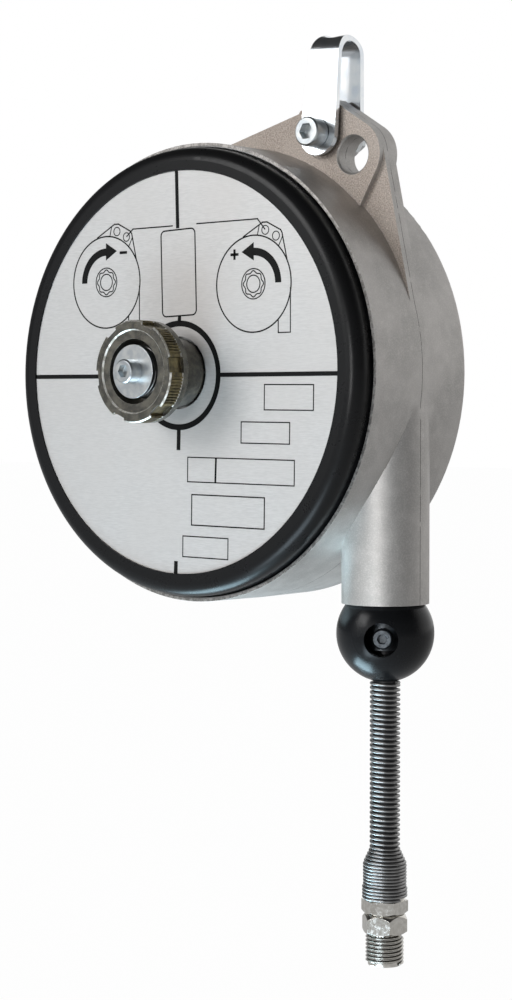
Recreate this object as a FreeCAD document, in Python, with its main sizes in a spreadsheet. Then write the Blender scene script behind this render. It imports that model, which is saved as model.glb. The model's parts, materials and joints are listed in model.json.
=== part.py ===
"""Tool balancer with an air hose: a spring drum in a cast housing, hung from a strap.

Frame of the whole part: +Z up, -Y the front with the name plate, +X the side the hose leaves.
The origin is the hook seat, the inside of the suspension strap's bend.
Each sub-part is drawn about one of three local origins and then placed:
the drum axis at mid-depth of the housing, the hose line at the drum axis's height,
or the strap's pivot.
"""
import FreeCAD
import Part
import Sketcher
import math
import os

DIMENSIONS = (
    # housing
    ("housing_radius", 80, "outer radius of the cup at its rim and at its back"),
    ("housing_depth", 53, "front rim to back wall"),
    ("parting_rise", 0.25, "extra radius at the mid-depth parting plane"),
    ("housing_wall", 2.5, "side wall of the cup"),
    ("back_wall", 3, "back wall of the cup"),
    ("back_edge_radius", 2.5, "rounded edge round the back"),
    ("inner_edge_radius", 3, "rounded inner corner of the cup"),
    ("rim_wall", 1.1, "thin wall round the cover's seat"),
    ("seat_depth", 6, "depth of the cover's seat below the rim"),
    ("boss_radius", 22, "boss round the air inlet"),
    ("boss_rise", 2.5, "boss height outside and inside the back wall"),
    # ear
    ("peak_across", 44, "peak of the ear from the drum axis, sideways"),
    ("peak_up", 14, "peak of the ear above the top of the cup"),
    ("chain_hole_across", 10, "safety chain hole, right of the peak"),
    ("chain_hole_drop", 20.1, "safety chain hole, below the peak"),
    ("chain_hole_radius", 6.25, "safety chain hole"),
    ("lug_corner_radius", 11.5, "rounded corner of the lug about the chain hole"),
    ("lug_thickness", 10, "thick lug of the ear"),
    ("web_thickness", 6, "web that ties the lug to the cup"),
    ("lug_foot_left", 73.5, "angle on the cup where the lug starts on the left"),
    ("lug_foot_right", 44.6, "angle on the cup where the lug ends on the right"),
    ("lug_start_share", 0.8, "share of the top line left of the lug"),
    ("recess_depth", 0.8, "shallow recess beside the strap"),
    ("recess_margin", 0.9, "recess beyond the strap's end radius"),
    ("hole_chamfer", 0.6, "chamfer of the chain hole"),
    # spout
    ("spout_radius", 15, "outer radius of the hose spout"),
    ("spout_inset", 0.5, "outside of the spout within the outside of the cup"),
    ("spout_drop", 78.9, "bottom of the spout below the drum axis"),
    ("spout_bore", 12.4, "bore of the spout"),
    ("spout_bore_start", 9, "top of the bore below the drum axis"),
    ("mouth_radius", 13.7, "wider mouth that the ball nests in"),
    ("mouth_depth", 8, "depth of the mouth"),
    ("guide_height", 8, "hose guide above the mouth"),
    ("guide_room", 1, "hose guide round the hose"),
    ("guide_wall", 3, "hose guide at its top"),
    ("guide_throat", 4, "straight throat of the guide above the mouth"),
    ("guide_rest", 0.5, "guide above the top of the ball"),
    ("guide_dish", 2.1, "hollow of the guide's underside"),
    # cover and plate
    ("cover_proud", 7.8, "front face of the cover ahead of the rim"),
    ("cover_gap", 0.12, "cover's clearance in its seat"),
    ("cover_wall", 2.5, "wall of the cover"),
    ("bead_inset", 0.7, "bead smaller than the cover's flange"),
    ("bead_radius", 4.8, "rounded shoulder of the cover"),
    ("flange_thickness", 4.4, "cover's flange in the seat"),
    ("ring_wire", 1, "wire of the retaining ring"),
    ("ring_groove", 0.5, "depth of the ring's groove in the rim wall"),
    ("ring_gap_angle", 6, "open part of the retaining ring"),
    ("cover_flat", 3.28, "flat face of the cover round the plate"),
    ("plate_thickness", 0.7, "name plate"),
    ("plate_sink", 0.6, "plate's face below the cover's front face"),
    ("plate_hole", 12.6, "hole round the knob's neck"),
    ("plate_gap", 0.1, "clearance round the plate"),
    ("well_depth", 3, "depth of the ratchet well below the plate's seat"),
    ("cover_boss_radius", 14, "boss on the cover's inside"),
    ("boss_gap", 0.5, "boss on the cover's inside to the drum"),
    # knob
    ("knob_radius", 17.5, "tension knob"),
    ("knob_stand", 23.3, "knob's front face ahead of the plate"),
    ("knob_edge", 0.5, "chamfer of the front edge"),
    ("knurl_length", 6, "knurled band behind the chamfer"),
    ("flange_length", 3, "plain band behind the knurl"),
    ("neck_radius", 12, "neck of the knob"),
    ("neck_gap", 0.5, "gap between neck and plate at rest"),
    ("knob_bore", 11.1, "bore that holds the return spring"),
    ("knob_bore_depth", 11, "depth of that bore"),
    ("face_step_radius", 14.4, "shallow step in the face"),
    ("face_step_depth", 0.5, "depth of the step"),
    ("notch_count", 6, "finger notches"),
    ("notch_width", 5, "finger notch"),
    ("notch_depth", 1.4, "finger notch"),
    ("notch_flare", 0.7, "how much wider a notch is at its mouth, each side"),
    ("notch_turn", 23, "first notch, from the top"),
    ("dog_count", 12, "dog teeth on the knob and on the ring"),
    ("dog_height", 1.8, "dog tooth of the knob"),
    ("dog_inner", 9.2, "bore inside the dog teeth"),
    ("dog_outer", 11.6, "dog teeth, outer radius"),
    ("dog_width", 2.2, "dog tooth"),
    ("dog_clearance", 0.3, "axial room that leaves the teeth out of mesh"),
    ("ring_tooth_height", 1.1, "tooth of the ratchet ring"),
    ("washer_radius", 9.15, "washer in the knob"),
    ("washer_thickness", 1.2, "washer in the knob"),
    # arbor
    ("hex_flats", 13, "hexagon that drives the arbor, across flats"),
    ("hex_gap", 0.1, "knob's clearance round the hexagon"),
    ("journal_radius", 8, "arbor in the cover's bush"),
    ("running_gap", 0.05, "radial clearance of every running fit"),
    ("bush_wall", 2, "wall of every bush"),
    ("arbor_hub", 13, "hub that the power spring winds on"),
    ("arbor_hub_end", 2.5, "hub's inner end behind mid-depth"),
    ("collar_gap", 0.3, "hub to the cover's boss"),
    ("pilot_radius", 5, "arbor's pilot in the spindle"),
    ("pilot_length", 3, "arbor's pilot"),
    ("hook_slot_width", 1.4, "slot for the spring's inner hook"),
    ("hook_slot_depth", 3, "slot for the spring's inner hook"),
    # drum
    ("hose_radius", 4, "outside of the hose"),
    ("hose_bore", 2.5, "inside of the hose"),
    ("turn_pitch", 8.6, "from turn to turn"),
    ("drum_end_gap", 0.5, "drum to the boss of the back wall"),
    ("flange_rise", 2, "drum flanges above the wound hose"),
    ("drum_flange", 2.5, "thickness of the drum flanges"),
    ("chamber_wall", 4.5, "wall between the hose groove and the spring chamber"),
    ("drum_rim_wall", 3.5, "rim behind the web"),
    ("web_front", 3.5, "front of the drum's web behind mid-depth"),
    ("web_wall", 3, "drum's web"),
    ("drum_hub_radius", 17, "drum's hub"),
    ("rear_bush_length", 5, "bush at the back of the drum's hub"),
    ("rib_count", 6, "ribs on the back of the web"),
    ("rib_thickness", 3, "rib"),
    ("rib_height", 9, "rib behind the web"),
    ("air_path", 9.5, "air passage behind mid-depth"),
    ("air_bore", 1.25, "air passage"),
    ("air_boss", 4, "boss round the air passage"),
    ("fitting_length", 10.4, "drum's air fitting"),
    ("fitting_radius", 3.5, "drum's air fitting"),
    ("case_cover", 1.5, "cover of the spring chamber"),
    ("case_screw_count", 6, "screws of the spring chamber's cover"),
    ("case_screw_radius", 1.5, "shank of those screws"),
    ("case_screw_head", 2.75, "head of those screws"),
    ("case_screw_rise", 2, "height of their heads"),
    ("case_screw_length", 6, "length of their shanks"),
    ("case_boss_length", 2, "boss of the chamber cover round its bush"),
    # power spring
    ("band_thickness", 0.8, "spring band"),
    ("band_gap", 2, "room at each edge of the spring band"),
    ("band_turns", 7, "turns of the spring"),
    ("band_inner", 14.5, "innermost turn"),
    # spindle
    ("spindle_radius", 12, "journal the drum turns on"),
    ("spindle_seat", 14, "seat in the back wall"),
    ("spindle_hex", 30, "hexagon outside, across flats"),
    ("spindle_hex_height", 4, "hexagon outside"),
    ("inlet_radius", 5.72, "G1/4 female thread, minor radius"),
    ("inlet_depth", 14, "G1/4 female thread"),
    ("seal_section", 0.9, "section radius of the seals"),
    ("seal_front", 5.9, "front seal behind mid-depth"),
    ("seal_rear", 13.1, "rear seal behind mid-depth"),
    ("seal_groove", 10.2, "floor of the seal grooves and of the air groove"),
    # strap
    ("pivot_across", 2.8, "strap's pivot, left of the peak"),
    ("pivot_drop", 12, "strap's pivot, below the peak"),
    ("strap_reach", 30.8, "pivot to the hook seat"),
    ("strap_lean", 4.6, "how far the strap leans as it hangs"),
    ("strap_thickness", 2, "strap"),
    ("strap_half_top", 7.3, "half the bend's outer width"),
    ("strap_half_foot", 8.6, "half the outer width at the feet"),
    ("strap_end_radius", 7.6, "rounded foot"),
    ("strap_top_width", 9.4, "strap at its bend"),
    ("strap_shoulder_width", 12.2, "strap where it starts to narrow to the bend"),
    ("strap_shoulder_drop", 6, "start of that narrowing below the bend"),
    ("strap_shoulder_radius", 12, "curve of that narrowing"),
    ("strap_saddle", 1.4, "hollow across the bend"),
    ("spacer_radius", 4.5, "spacer between the strap's legs"),
    ("m6_radius", 3, "strap screw"),
    ("m6_head_radius", 5, "strap screw's head"),
    ("m6_socket", 5, "hexagon socket of the strap screw, across flats"),
    ("m6_socket_depth", 3, "hexagon socket of the strap screw"),
    ("m6_nut", 10, "lock nut, across flats"),
    ("m6_nut_height", 6, "lock nut"),
    ("m5_radius", 2.5, "knob screw"),
    ("m5_head_radius", 4.1, "knob screw's head"),
    ("m5_head_height", 4.8, "knob screw's head"),
    ("m5_socket", 4, "hexagon socket of the knob screw, across flats"),
    ("m5_socket_depth", 2.5, "hexagon socket of the knob screw"),
    ("m4_radius", 2, "clamp screw"),
    ("m4_head_radius", 3.5, "clamp screw's head"),
    ("m4_socket", 3, "hexagon socket, across flats"),
    ("m4_socket_depth", 2, "hexagon socket"),
    ("knob_screw_length", 12, "shank in the arbor"),
    ("screw_gap", 0.02, "clearance round every screw in its thread"),
    # hose end
    ("ball_radius", 16.75, "stop ball"),
    ("ball_below", 10.2, "ball's centre below the spout"),
    ("ball_hole_radius", 5.8, "side hole of the ball"),
    ("ball_hole_drop", 1.1, "side hole below the ball's centre"),
    ("ball_hole_turn", 31, "side hole, turned from the front"),
    ("clamp_radius", 8, "collar in the ball"),
    ("clamp_half_height", 5.4, "collar in the ball"),
    ("clamp_gap", 0.05, "collar in the ball"),
    ("lead_start", 33, "top of the straight hose below the drum axis"),
    ("lead_in_ball", 9.1, "where the tail hose takes over, above the ball's centre"),
    ("coil_radius", 5.25, "guard spring"),
    ("coil_wire", 1.1, "guard spring's wire"),
    ("coil_pitch", 1.645, "open coils"),
    ("coil_gap", 0.15, "guard spring below the ball"),
    ("coil_turns", 35, "open coils"),
    ("end_coil_radius", 7.8, "thick end coils"),
    ("end_coil_pitch", 1.148, "thick end coils"),
    ("end_coil_turns", 11, "thick end coils"),
    ("flare_length", 5, "cone between the two"),
    ("nut_flats", 14, "both hexagons, across flats"),
    ("hose_nut_height", 4.6, "hose nut"),
    ("nut_grip", 10, "nut's collar up inside the guard spring"),
    ("hose_seat", 4.2, "end of the hose above the bottom of the nut"),
    ("nut_chamfer", 0.9, "chamfered corners of the hexagons"),
    ("nut_split", 0.3, "gap between the hexagons"),
    ("nipple_hex_height", 6.525, "nipple's hexagon"),
    ("nipple_chamfer", 1.5, "chamfered top corners of the nipple's hexagon"),
    ("barb_length", 12, "nipple's barb in the hose"),
    ("thread_radius", 6.58, "G1/4 male thread"),
    ("thread_length", 11, "G1/4 male thread"),
    ("nipple_bore", 2, "air bore of the nipple"),
    ("nut_thread", 5.5, "joint between nut and nipple"),
    ("nut_turn", 30, "how far the hose nut is turned"),
    ("nipple_turn", 19, "how far the nipple is turned"),
)


class Size:
    """A number together with the sheet expression that gives it."""

    def __init__(self, text, value):
        self.text = text
        self.value = value

    def join(self, other, sign, value, swapped=False):
        first, second = (as_size(other), self) if swapped else (self, as_size(other))
        return Size(f"({first.text} {sign} {second.text})", value)

    def __add__(self, other):
        return self.join(other, "+", self.value + number(other))

    def __radd__(self, other):
        return self.join(other, "+", number(other) + self.value, swapped=True)

    def __sub__(self, other):
        return self.join(other, "-", self.value - number(other))

    def __rsub__(self, other):
        return self.join(other, "-", number(other) - self.value, swapped=True)

    def __mul__(self, other):
        return self.join(other, "*", self.value * number(other))

    def __rmul__(self, other):
        return self.join(other, "*", number(other) * self.value, swapped=True)

    def __truediv__(self, other):
        return self.join(other, "/", self.value / number(other))

    def __rtruediv__(self, other):
        return self.join(other, "/", number(other) / self.value, swapped=True)

    def __neg__(self):
        return Size(f"(0 - {self.text})", -self.value)

    def __float__(self):
        return float(self.value)


def number(size):
    return float(size)


def as_size(size):
    return size if isinstance(size, Size) else Size(repr(float(size)), float(size))


def sin(angle):
    return Size(f"sin({as_size(angle).text})", math.sin(math.radians(number(angle))))


def cos(angle):
    return Size(f"cos({as_size(angle).text})", math.cos(math.radians(number(angle))))


def tan(angle):
    return Size(f"tan({as_size(angle).text})", math.tan(math.radians(number(angle))))


def acos(ratio):
    return Size(f"acos({ratio.text})", math.degrees(math.acos(number(ratio))))


def atan2(rise, run):
    text = f"atan2({as_size(rise).text}; {as_size(run).text})"
    return Size(text, math.degrees(math.atan2(number(rise), number(run))))


def hypot(one, other):
    text = f"hypot({as_size(one).text}; {as_size(other).text})"
    return Size(text, math.hypot(number(one), number(other)))


class Dimensions:
    """The sheet's cells, each under its own name."""


def make_sheet(document):
    sheet = document.addObject("Spreadsheet::Sheet", "Sizes")
    cells = Dimensions()
    for row, (name, value, meaning) in enumerate(DIMENSIONS, 1):
        sheet.set(f"A{row}", name)
        sheet.set(f"B{row}", str(value))
        sheet.setAlias(f"B{row}", name)
        sheet.set(f"C{row}", meaning)
        setattr(cells, name, Size(f"Sizes.{name}", float(value)))
    document.recompute()
    return cells


doc = FreeCAD.newDocument("ToolBalancer")
dim = make_sheet(doc)
finished = []


# ---------------------------------------------------------------- shared steps

def bind(thing, path, size):
    """Set a property and tie it to the sheet."""
    thing.setExpression(path, as_size(size).text)


def new_body(name):
    body = doc.addObject("PartDesign::Body", name)
    body.Label = name
    return body


def plane_of(body, role):
    return next(item for item in body.Origin.OriginFeatures if item.Role == role)


def new_sketch(body, name, role, offset=None):
    sketch = body.newObject("Sketcher::SketchObject", name)
    sketch.AttachmentSupport = [(plane_of(body, role), "")]
    sketch.MapMode = "FlatFace"
    if offset is not None:
        bind(sketch, ".AttachmentOffset.Base.z", offset)
    return sketch


def fix_point(sketch, edge, end, x, y):
    """Hold one end of an edge at (x, y) from the sketch's origin."""
    for direction, axis, size in (("DistanceX", -2, x), ("DistanceY", -1, y)):
        if isinstance(size, Size):
            index = sketch.addConstraint(Sketcher.Constraint(direction, -1, 1, edge, end, number(size)))
            bind(sketch, f"Constraints[{index}]", size)
        elif size == 0:
            sketch.addConstraint(Sketcher.Constraint("PointOnObject", edge, end, axis))
        else:
            sketch.addConstraint(Sketcher.Constraint(direction, -1, 1, edge, end, number(size)))


def arc_between(start, end, radius):
    """Arc from start to end, turning left for a positive radius and right for a negative one."""
    chord = end - start
    height = math.sqrt(max(radius * radius - chord.Length ** 2 / 4, 0))
    left = FreeCAD.Vector(-chord.y, chord.x, 0).normalize()
    centre = (start + end) * 0.5 + left * math.copysign(height, radius)
    first, last = (start, end) if radius > 0 else (end, start)
    angles = [math.atan2(point.y - centre.y, point.x - centre.x) for point in (first, last)]
    circle = Part.Circle(centre, FreeCAD.Vector(0, 0, 1), abs(radius))
    return Part.ArcOfCircle(circle, angles[0], angles[1])


def outline(body, name, role, corners, offset=None):
    """Closed sketch through corners (x, y); a third number makes the next edge an arc."""
    sketch = new_sketch(body, name, role, offset)
    points = [FreeCAD.Vector(number(corner[0]), number(corner[1]), 0) for corner in corners]
    ends = []
    for index, corner in enumerate(corners):
        start, end = points[index], points[(index + 1) % len(points)]
        if len(corner) == 3:
            edge = sketch.addGeometry(arc_between(start, end, number(corner[2])))
            ends.append((1, 2) if number(corner[2]) > 0 else (2, 1))
            radius = sketch.addConstraint(Sketcher.Constraint("Radius", edge, abs(number(corner[2]))))
            bind(sketch, f"Constraints[{radius}]", corner[2] if number(corner[2]) > 0 else -corner[2])
        else:
            sketch.addGeometry(Part.LineSegment(start, end))
            ends.append((1, 2))
    for index, corner in enumerate(corners):
        following = (index + 1) % len(corners)
        link = Sketcher.Constraint("Coincident", index, ends[index][1], following, ends[following][0])
        sketch.addConstraint(link)
        fix_point(sketch, index, ends[index][0], corner[0], corner[1])
    return sketch


def ring(body, name, role, x, y, radius, offset=None):
    """Sketch of one circle."""
    sketch = new_sketch(body, name, role, offset)
    centre = FreeCAD.Vector(number(x), number(y), 0)
    edge = sketch.addGeometry(Part.Circle(centre, FreeCAD.Vector(0, 0, 1), number(radius)))
    index = sketch.addConstraint(Sketcher.Constraint("Radius", edge, number(radius)))
    bind(sketch, f"Constraints[{index}]", radius)
    fix_point(sketch, edge, 3, x, y)
    return sketch


def hexagon(flats, turn=0):
    """Corners of a hexagon about the origin."""
    return [(flats / 2 / cos(30) * cos(turn + 60 * corner), flats / 2 / cos(30) * sin(turn + 60 * corner))
            for corner in range(6)]


def octagon(across, up, radius):
    """Corners of an octagon about a point, flat sides at the radius."""
    flat = radius * tan(22.5)
    turns = ((1, -1), (1, 1), (-1, 1), (-1, -1))
    corners = []
    for x, y in turns:
        first, second = (across + x * radius, up + y * flat), (across + x * flat, up + y * radius)
        corners += (first, second) if x * y > 0 else (second, first)
    return corners


def feature(body, kind, name, sketch):
    item = body.newObject(kind, name)
    item.Profile = sketch
    return item


def pad(body, name, sketch, length, symmetric=False, reverse=False):
    item = feature(body, "PartDesign::Pad", name, sketch)
    item.SideType = "Symmetric" if symmetric else "One side"
    item.Reversed = reverse
    bind(item, "Length", length)
    return item


def must_cut(body, item, before):
    """A cut that points the wrong way removes nothing and says nothing, so the volume is compared."""
    doc.recompute()
    if not body.Shape.Volume < before - 1e-6:
        raise RuntimeError(f"{item.Name} of {body.Label} removes nothing")
    return item


def pocket(body, name, sketch, length, symmetric=False, reverse=False):
    doc.recompute()
    before = body.Shape.Volume
    item = feature(body, "PartDesign::Pocket", name, sketch)
    item.SideType = "Symmetric" if symmetric else "One side"
    item.Reversed = reverse
    bind(item, "Length", length)
    return must_cut(body, item, before)


def revolution(body, name, sketch, angle=360):
    item = feature(body, "PartDesign::Revolution", name, sketch)
    item.ReferenceAxis = (sketch, ["V_Axis"])
    bind(item, "Angle", angle)
    return item


def groove(body, name, sketch):
    doc.recompute()
    before = body.Shape.Volume
    item = feature(body, "PartDesign::Groove", name, sketch)
    item.ReferenceAxis = (sketch, ["V_Axis"])
    item.Angle = 360
    return must_cut(body, item, before)


def repeat(body, name, originals, count, role):
    """Repeat features evenly round one of the body's axes."""
    pattern = body.newObject("PartDesign::PolarPattern", name)
    pattern.Originals = originals
    pattern.Axis = (plane_of(body, role), [""])
    pattern.Angle = 360
    bind(pattern, "Occurrences", count)
    body.Tip = pattern
    doc.recompute()
    return pattern


def edges_where(body, wanted):
    return [f"Edge{index}" for index, edge in enumerate(body.Tip.Shape.Edges, 1) if wanted(edge)]


def round_edges(body, name, wanted, radius, kind="PartDesign::Fillet", size_name="Radius"):
    doc.recompute()
    base = body.Tip
    names = edges_where(body, wanted)
    item = body.newObject(kind, name)
    item.Base = (base, names)
    bind(item, size_name, radius)
    doc.recompute()
    return item


def is_circle(edge, radius):
    return isinstance(edge.Curve, Part.Circle) and abs(edge.Curve.Radius - number(radius)) < 1e-4


def turned(name, corners):
    """Body revolved about Y from corners (radius, y)."""
    body = new_body(name)
    revolution(body, name + "_turn", outline(body, name + "_profile", "XY_Plane", corners))
    return body


def turned_upright(name, corners):
    """Body revolved about Z from corners (radius, z)."""
    body = new_body(name)
    revolution(body, name + "_turn", outline(body, name + "_profile", "XZ_Plane", corners))
    return body


def tube(name, inner, outer, start, end):
    return turned(name, [(inner, start), (outer, start), (outer, end), (inner, end)])


def upright_tube(name, inner, outer, bottom, top):
    return turned_upright(name, [(inner, bottom), (outer, bottom), (outer, top), (inner, top)])


def boolean(kind, name, base, tool):
    item = doc.addObject(kind, name)
    item.Base = base
    item.Tool = tool
    item.Label = name
    return item


def place(item, x, z):
    """Move a finished sub-part from its local origin to the part's frame."""
    doc.recompute()
    bind(item, ".Placement.Base.x", x)
    bind(item, ".Placement.Base.z", z)
    finished.append(item)


def hypot_leg(longest, other):
    """Other leg of a right triangle."""
    text = f"sqrt({longest.text} ^ 2 - {other.text} ^ 2)"
    return Size(text, math.sqrt(number(longest) ** 2 - number(other) ** 2))


# ---------------------------------------------------------------- local origins

PEAK_Z = dim.housing_radius + dim.peak_up
CHAIN_X = dim.peak_across + dim.chain_hole_across
CHAIN_Z = PEAK_Z - dim.chain_hole_drop
PIVOT_X = dim.peak_across - dim.pivot_across
PIVOT_Z = PEAK_Z - dim.pivot_drop
PITCH_RADIUS = dim.housing_radius - dim.spout_radius - dim.spout_inset
DRUM_X = -(PIVOT_X + dim.strap_reach * sin(dim.strap_lean))
DRUM_Z = -(PIVOT_Z + dim.strap_reach * cos(dim.strap_lean))


def place_at_drum(item):
    place(item, DRUM_X, DRUM_Z)


def place_at_hose(item):
    place(item, DRUM_X + PITCH_RADIUS, DRUM_Z)


def place_at_pivot(item):
    place(item, DRUM_X + PIVOT_X, DRUM_Z + PIVOT_Z)


# ---------------------------------------------------------------- levels along the drum axis

RIM = -dim.housing_depth / 2
BACK = dim.housing_depth / 2
BACK_INSIDE = BACK - dim.back_wall
SEAT = RIM + dim.seat_depth
BOSS_INSIDE = BACK_INSIDE - dim.boss_rise
BOSS_OUTSIDE = BACK + dim.boss_rise
FLANGE_FRONT = SEAT - dim.flange_thickness
RING_FRONT = FLANGE_FRONT - dim.ring_wire
COVER_FACE = RIM - dim.cover_proud
PLATE_FACE = COVER_FACE + dim.plate_sink
PLATE_SEAT = PLATE_FACE + dim.plate_thickness
WELL_FLOOR = PLATE_SEAT + dim.well_depth
NECK_END = PLATE_FACE - dim.neck_gap
DOG_TIP = NECK_END + dim.dog_height
RING_TIP = DOG_TIP + dim.dog_clearance
RING_TOP = RING_TIP + dim.ring_tooth_height
KNOB_FACE = PLATE_FACE - dim.knob_stand
KNOB_FLOOR = KNOB_FACE + dim.knob_bore_depth
WASHER_BACK = KNOB_FACE + dim.washer_thickness
JOURNAL_FRONT = WELL_FLOOR - 0.2
DRUM_REAR = BOSS_INSIDE - dim.drum_end_gap
DRUM_FRONT = -DRUM_REAR
CASE_FRONT = DRUM_FRONT - dim.case_cover
CASE_BOSS_END = DRUM_FRONT + dim.case_boss_length
COVER_BOSS_END = CASE_FRONT - dim.boss_gap
ARBOR_COLLAR = COVER_BOSS_END + dim.collar_gap
BAND_FRONT = CASE_BOSS_END + dim.band_gap
BAND_WIDTH = dim.web_front - dim.band_gap - BAND_FRONT
RIB_END = dim.web_front + dim.web_wall + dim.rib_height
SPINDLE_FRONT = dim.web_front - 0.5

# ---------------------------------------------------------------- sizes across the drum axis

RIM_INSIDE = dim.housing_radius - dim.rim_wall
CUP_INSIDE = dim.housing_radius - dim.housing_wall
COVER_FLANGE = RIM_INSIDE - dim.cover_gap
COVER_BEAD = COVER_FLANGE - dim.bead_inset
PLATE_ROOM = COVER_BEAD - dim.bead_radius - dim.cover_flat
PLATE_RADIUS = PLATE_ROOM - dim.plate_gap
GROOVE_ROOT = PITCH_RADIUS - dim.hose_radius
SPRING_ROOM = GROOVE_ROOT - dim.chamber_wall
CASE_SCREW_CIRCLE = (SPRING_ROOM + GROOVE_ROOT) / 2
DRUM_FLANGE_RADIUS = PITCH_RADIUS + dim.hose_radius + dim.flange_rise
FITTING_END = GROOVE_ROOT - 0.1
FITTING_START = FITTING_END - dim.fitting_length

# ---------------------------------------------------------------- levels along the hose line, below the drum axis

BALL_DROP = dim.spout_drop + dim.ball_below
LEAD_END = BALL_DROP - dim.lead_in_ball
BALL_POLE = hypot_leg(dim.ball_radius, dim.hose_radius + dim.clamp_gap)
COIL_TOP = BALL_DROP + BALL_POLE + dim.coil_gap
COIL_END = COIL_TOP + dim.coil_pitch * dim.coil_turns
END_COIL_TOP = COIL_END + dim.flare_length
END_COIL_END = END_COIL_TOP + dim.end_coil_pitch * dim.end_coil_turns
NUT_BOTTOM = END_COIL_END + dim.hose_nut_height
NIPPLE_TOP = NUT_BOTTOM + dim.nut_split
NIPPLE_HEX_END = NIPPLE_TOP + dim.nipple_hex_height
THREAD_END = NIPPLE_HEX_END + dim.thread_length
HOSE_END = NUT_BOTTOM - dim.hose_seat


# ---------------------------------------------------------------- housing

def tangent_point(from_x, from_y, centre_x, centre_y, radius, side):
    """Where a line from a point touches a circle, on the left (+1) or right (-1) seen from the circle."""
    across, up = from_x - centre_x, from_y - centre_y
    angle = atan2(up, across) + side * acos(radius / hypot(across, up))
    return centre_x + radius * cos(angle), centre_y + radius * sin(angle)


def ear_lines():
    """Corner points of the ear: lines tangent to the cup and to the lug's round corner."""
    hole_x, hole_z, corner = CHAIN_X, CHAIN_Z, dim.lug_corner_radius
    centre_line = atan2(hole_z, hole_x)
    spread = acos((dim.housing_radius - corner) / hypot(hole_x, hole_z))
    side = centre_line - spread
    on_cup = (dim.housing_radius * cos(side), dim.housing_radius * sin(side))
    on_lug = (hole_x + corner * cos(side), hole_z + corner * sin(side))
    over_lug = tangent_point(dim.peak_across, PEAK_Z, hole_x, hole_z, corner, -1)
    left = tangent_point(dim.peak_across, PEAK_Z, Size("0", 0.0), Size("0", 0.0), dim.housing_radius, 1)
    return on_cup, on_lug, over_lug, left


def housing():
    body = new_body("housing")
    edge = dim.back_edge_radius
    envelope = outline(body, "envelope", "XY_Plane", [
        (0, RIM), (dim.housing_radius, RIM), (dim.housing_radius + dim.parting_rise, 0),
        (dim.housing_radius, BACK - edge, edge), (dim.housing_radius - edge, BACK),
        (dim.boss_radius, BACK), (dim.boss_radius - 1, BOSS_OUTSIDE), (0, BOSS_OUTSIDE)])
    revolution(body, "cup_outside", envelope)

    spout = ring(body, "spout_section", "XY_Plane", PITCH_RADIUS, 0, dim.spout_radius)
    pad(body, "spout", spout, dim.spout_drop, reverse=True)

    on_cup, on_lug, over_lug, left = ear_lines()
    peak = (dim.peak_across, PEAK_Z)
    web = outline(body, "web_section", "XZ_Plane", [
        (0, 0), on_cup, (*on_lug, dim.lug_corner_radius), over_lug, peak, left])
    pad(body, "web", web, dim.web_thickness, symmetric=True)

    hole = (CHAIN_X, CHAIN_Z)
    foot_right = (dim.housing_radius * cos(dim.lug_foot_right), dim.housing_radius * sin(dim.lug_foot_right))
    foot_left = (dim.housing_radius * cos(dim.lug_foot_left), dim.housing_radius * sin(dim.lug_foot_left))
    lug_right = tangent_point(*foot_right, *hole, dim.lug_corner_radius, 1)
    top_left = (left[0] + (peak[0] - left[0]) * dim.lug_start_share,
                left[1] + (peak[1] - left[1]) * dim.lug_start_share)
    lug = outline(body, "lug_section", "XZ_Plane", [
        (0, 0), foot_right, (*lug_right, dim.lug_corner_radius), over_lug, peak, top_left, foot_left])
    pad(body, "lug", lug, dim.lug_thickness, symmetric=True)
    chain = ring(body, "chain_section", "XZ_Plane", *hole, dim.chain_hole_radius)
    pocket(body, "chain_hole", chain, 2 * dim.lug_thickness, symmetric=True)
    round_edges(body, "chain_hole_chamfer", lambda edge: is_circle(edge, dim.chain_hole_radius),
                dim.hole_chamfer, "PartDesign::Chamfer", "Size")

    inner = dim.inner_edge_radius
    cavity = outline(body, "cavity", "XY_Plane", [
        (0, RIM - 1), (RIM_INSIDE, RIM - 1), (RIM_INSIDE, RING_FRONT),
        (RIM_INSIDE + dim.ring_groove, RING_FRONT), (RIM_INSIDE + dim.ring_groove, FLANGE_FRONT),
        (RIM_INSIDE, FLANGE_FRONT), (RIM_INSIDE, SEAT), (CUP_INSIDE, SEAT),
        (CUP_INSIDE, BACK_INSIDE - inner, inner), (CUP_INSIDE - inner, BACK_INSIDE),
        (dim.boss_radius, BACK_INSIDE), (dim.boss_radius, BOSS_INSIDE),
        (dim.spindle_seat + dim.screw_gap, BOSS_INSIDE),
        (dim.spindle_seat + dim.screw_gap, BOSS_OUTSIDE + 1), (0, BOSS_OUTSIDE + 1)])
    groove(body, "cup_inside", cavity)

    bore = ring(body, "bore_section", "XY_Plane", PITCH_RADIUS, 0, dim.spout_bore, -dim.spout_bore_start)
    pocket(body, "spout_bore", bore, dim.spout_drop)
    mouth = ring(body, "mouth_section", "XY_Plane", PITCH_RADIUS, 0, dim.mouth_radius, -dim.spout_drop)
    pocket(body, "spout_mouth", mouth, dim.mouth_depth, reverse=True)

    add_strap_recesses(body)
    pivot = ring(body, "pivot_section", "XZ_Plane", PIVOT_X, PIVOT_Z,
                 dim.spacer_radius + dim.running_gap)
    pocket(body, "pivot_hole", pivot, 2 * dim.lug_thickness, symmetric=True)
    place_at_drum(body)


def add_strap_recesses(body):
    """Shallow recess on each face of the lug, round the strap's foot and open at the top."""
    reach = dim.strap_end_radius + dim.recess_margin
    across, up = PIVOT_X, PIVOT_Z
    corners = [(across - reach, up, reach), (across, up - reach, reach), (across + reach, up),
               (across + reach, PEAK_Z + 5), (across - reach, PEAK_Z + 5)]
    for name, side in (("front", 1), ("rear", -1)):
        face = side * dim.lug_thickness / 2
        section = outline(body, name + "_recess_section", "XZ_Plane", corners, face)
        pocket(body, name + "_recess", section, dim.recess_depth, reverse=side < 0)


# ---------------------------------------------------------------- cover, plate, ring

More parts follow.
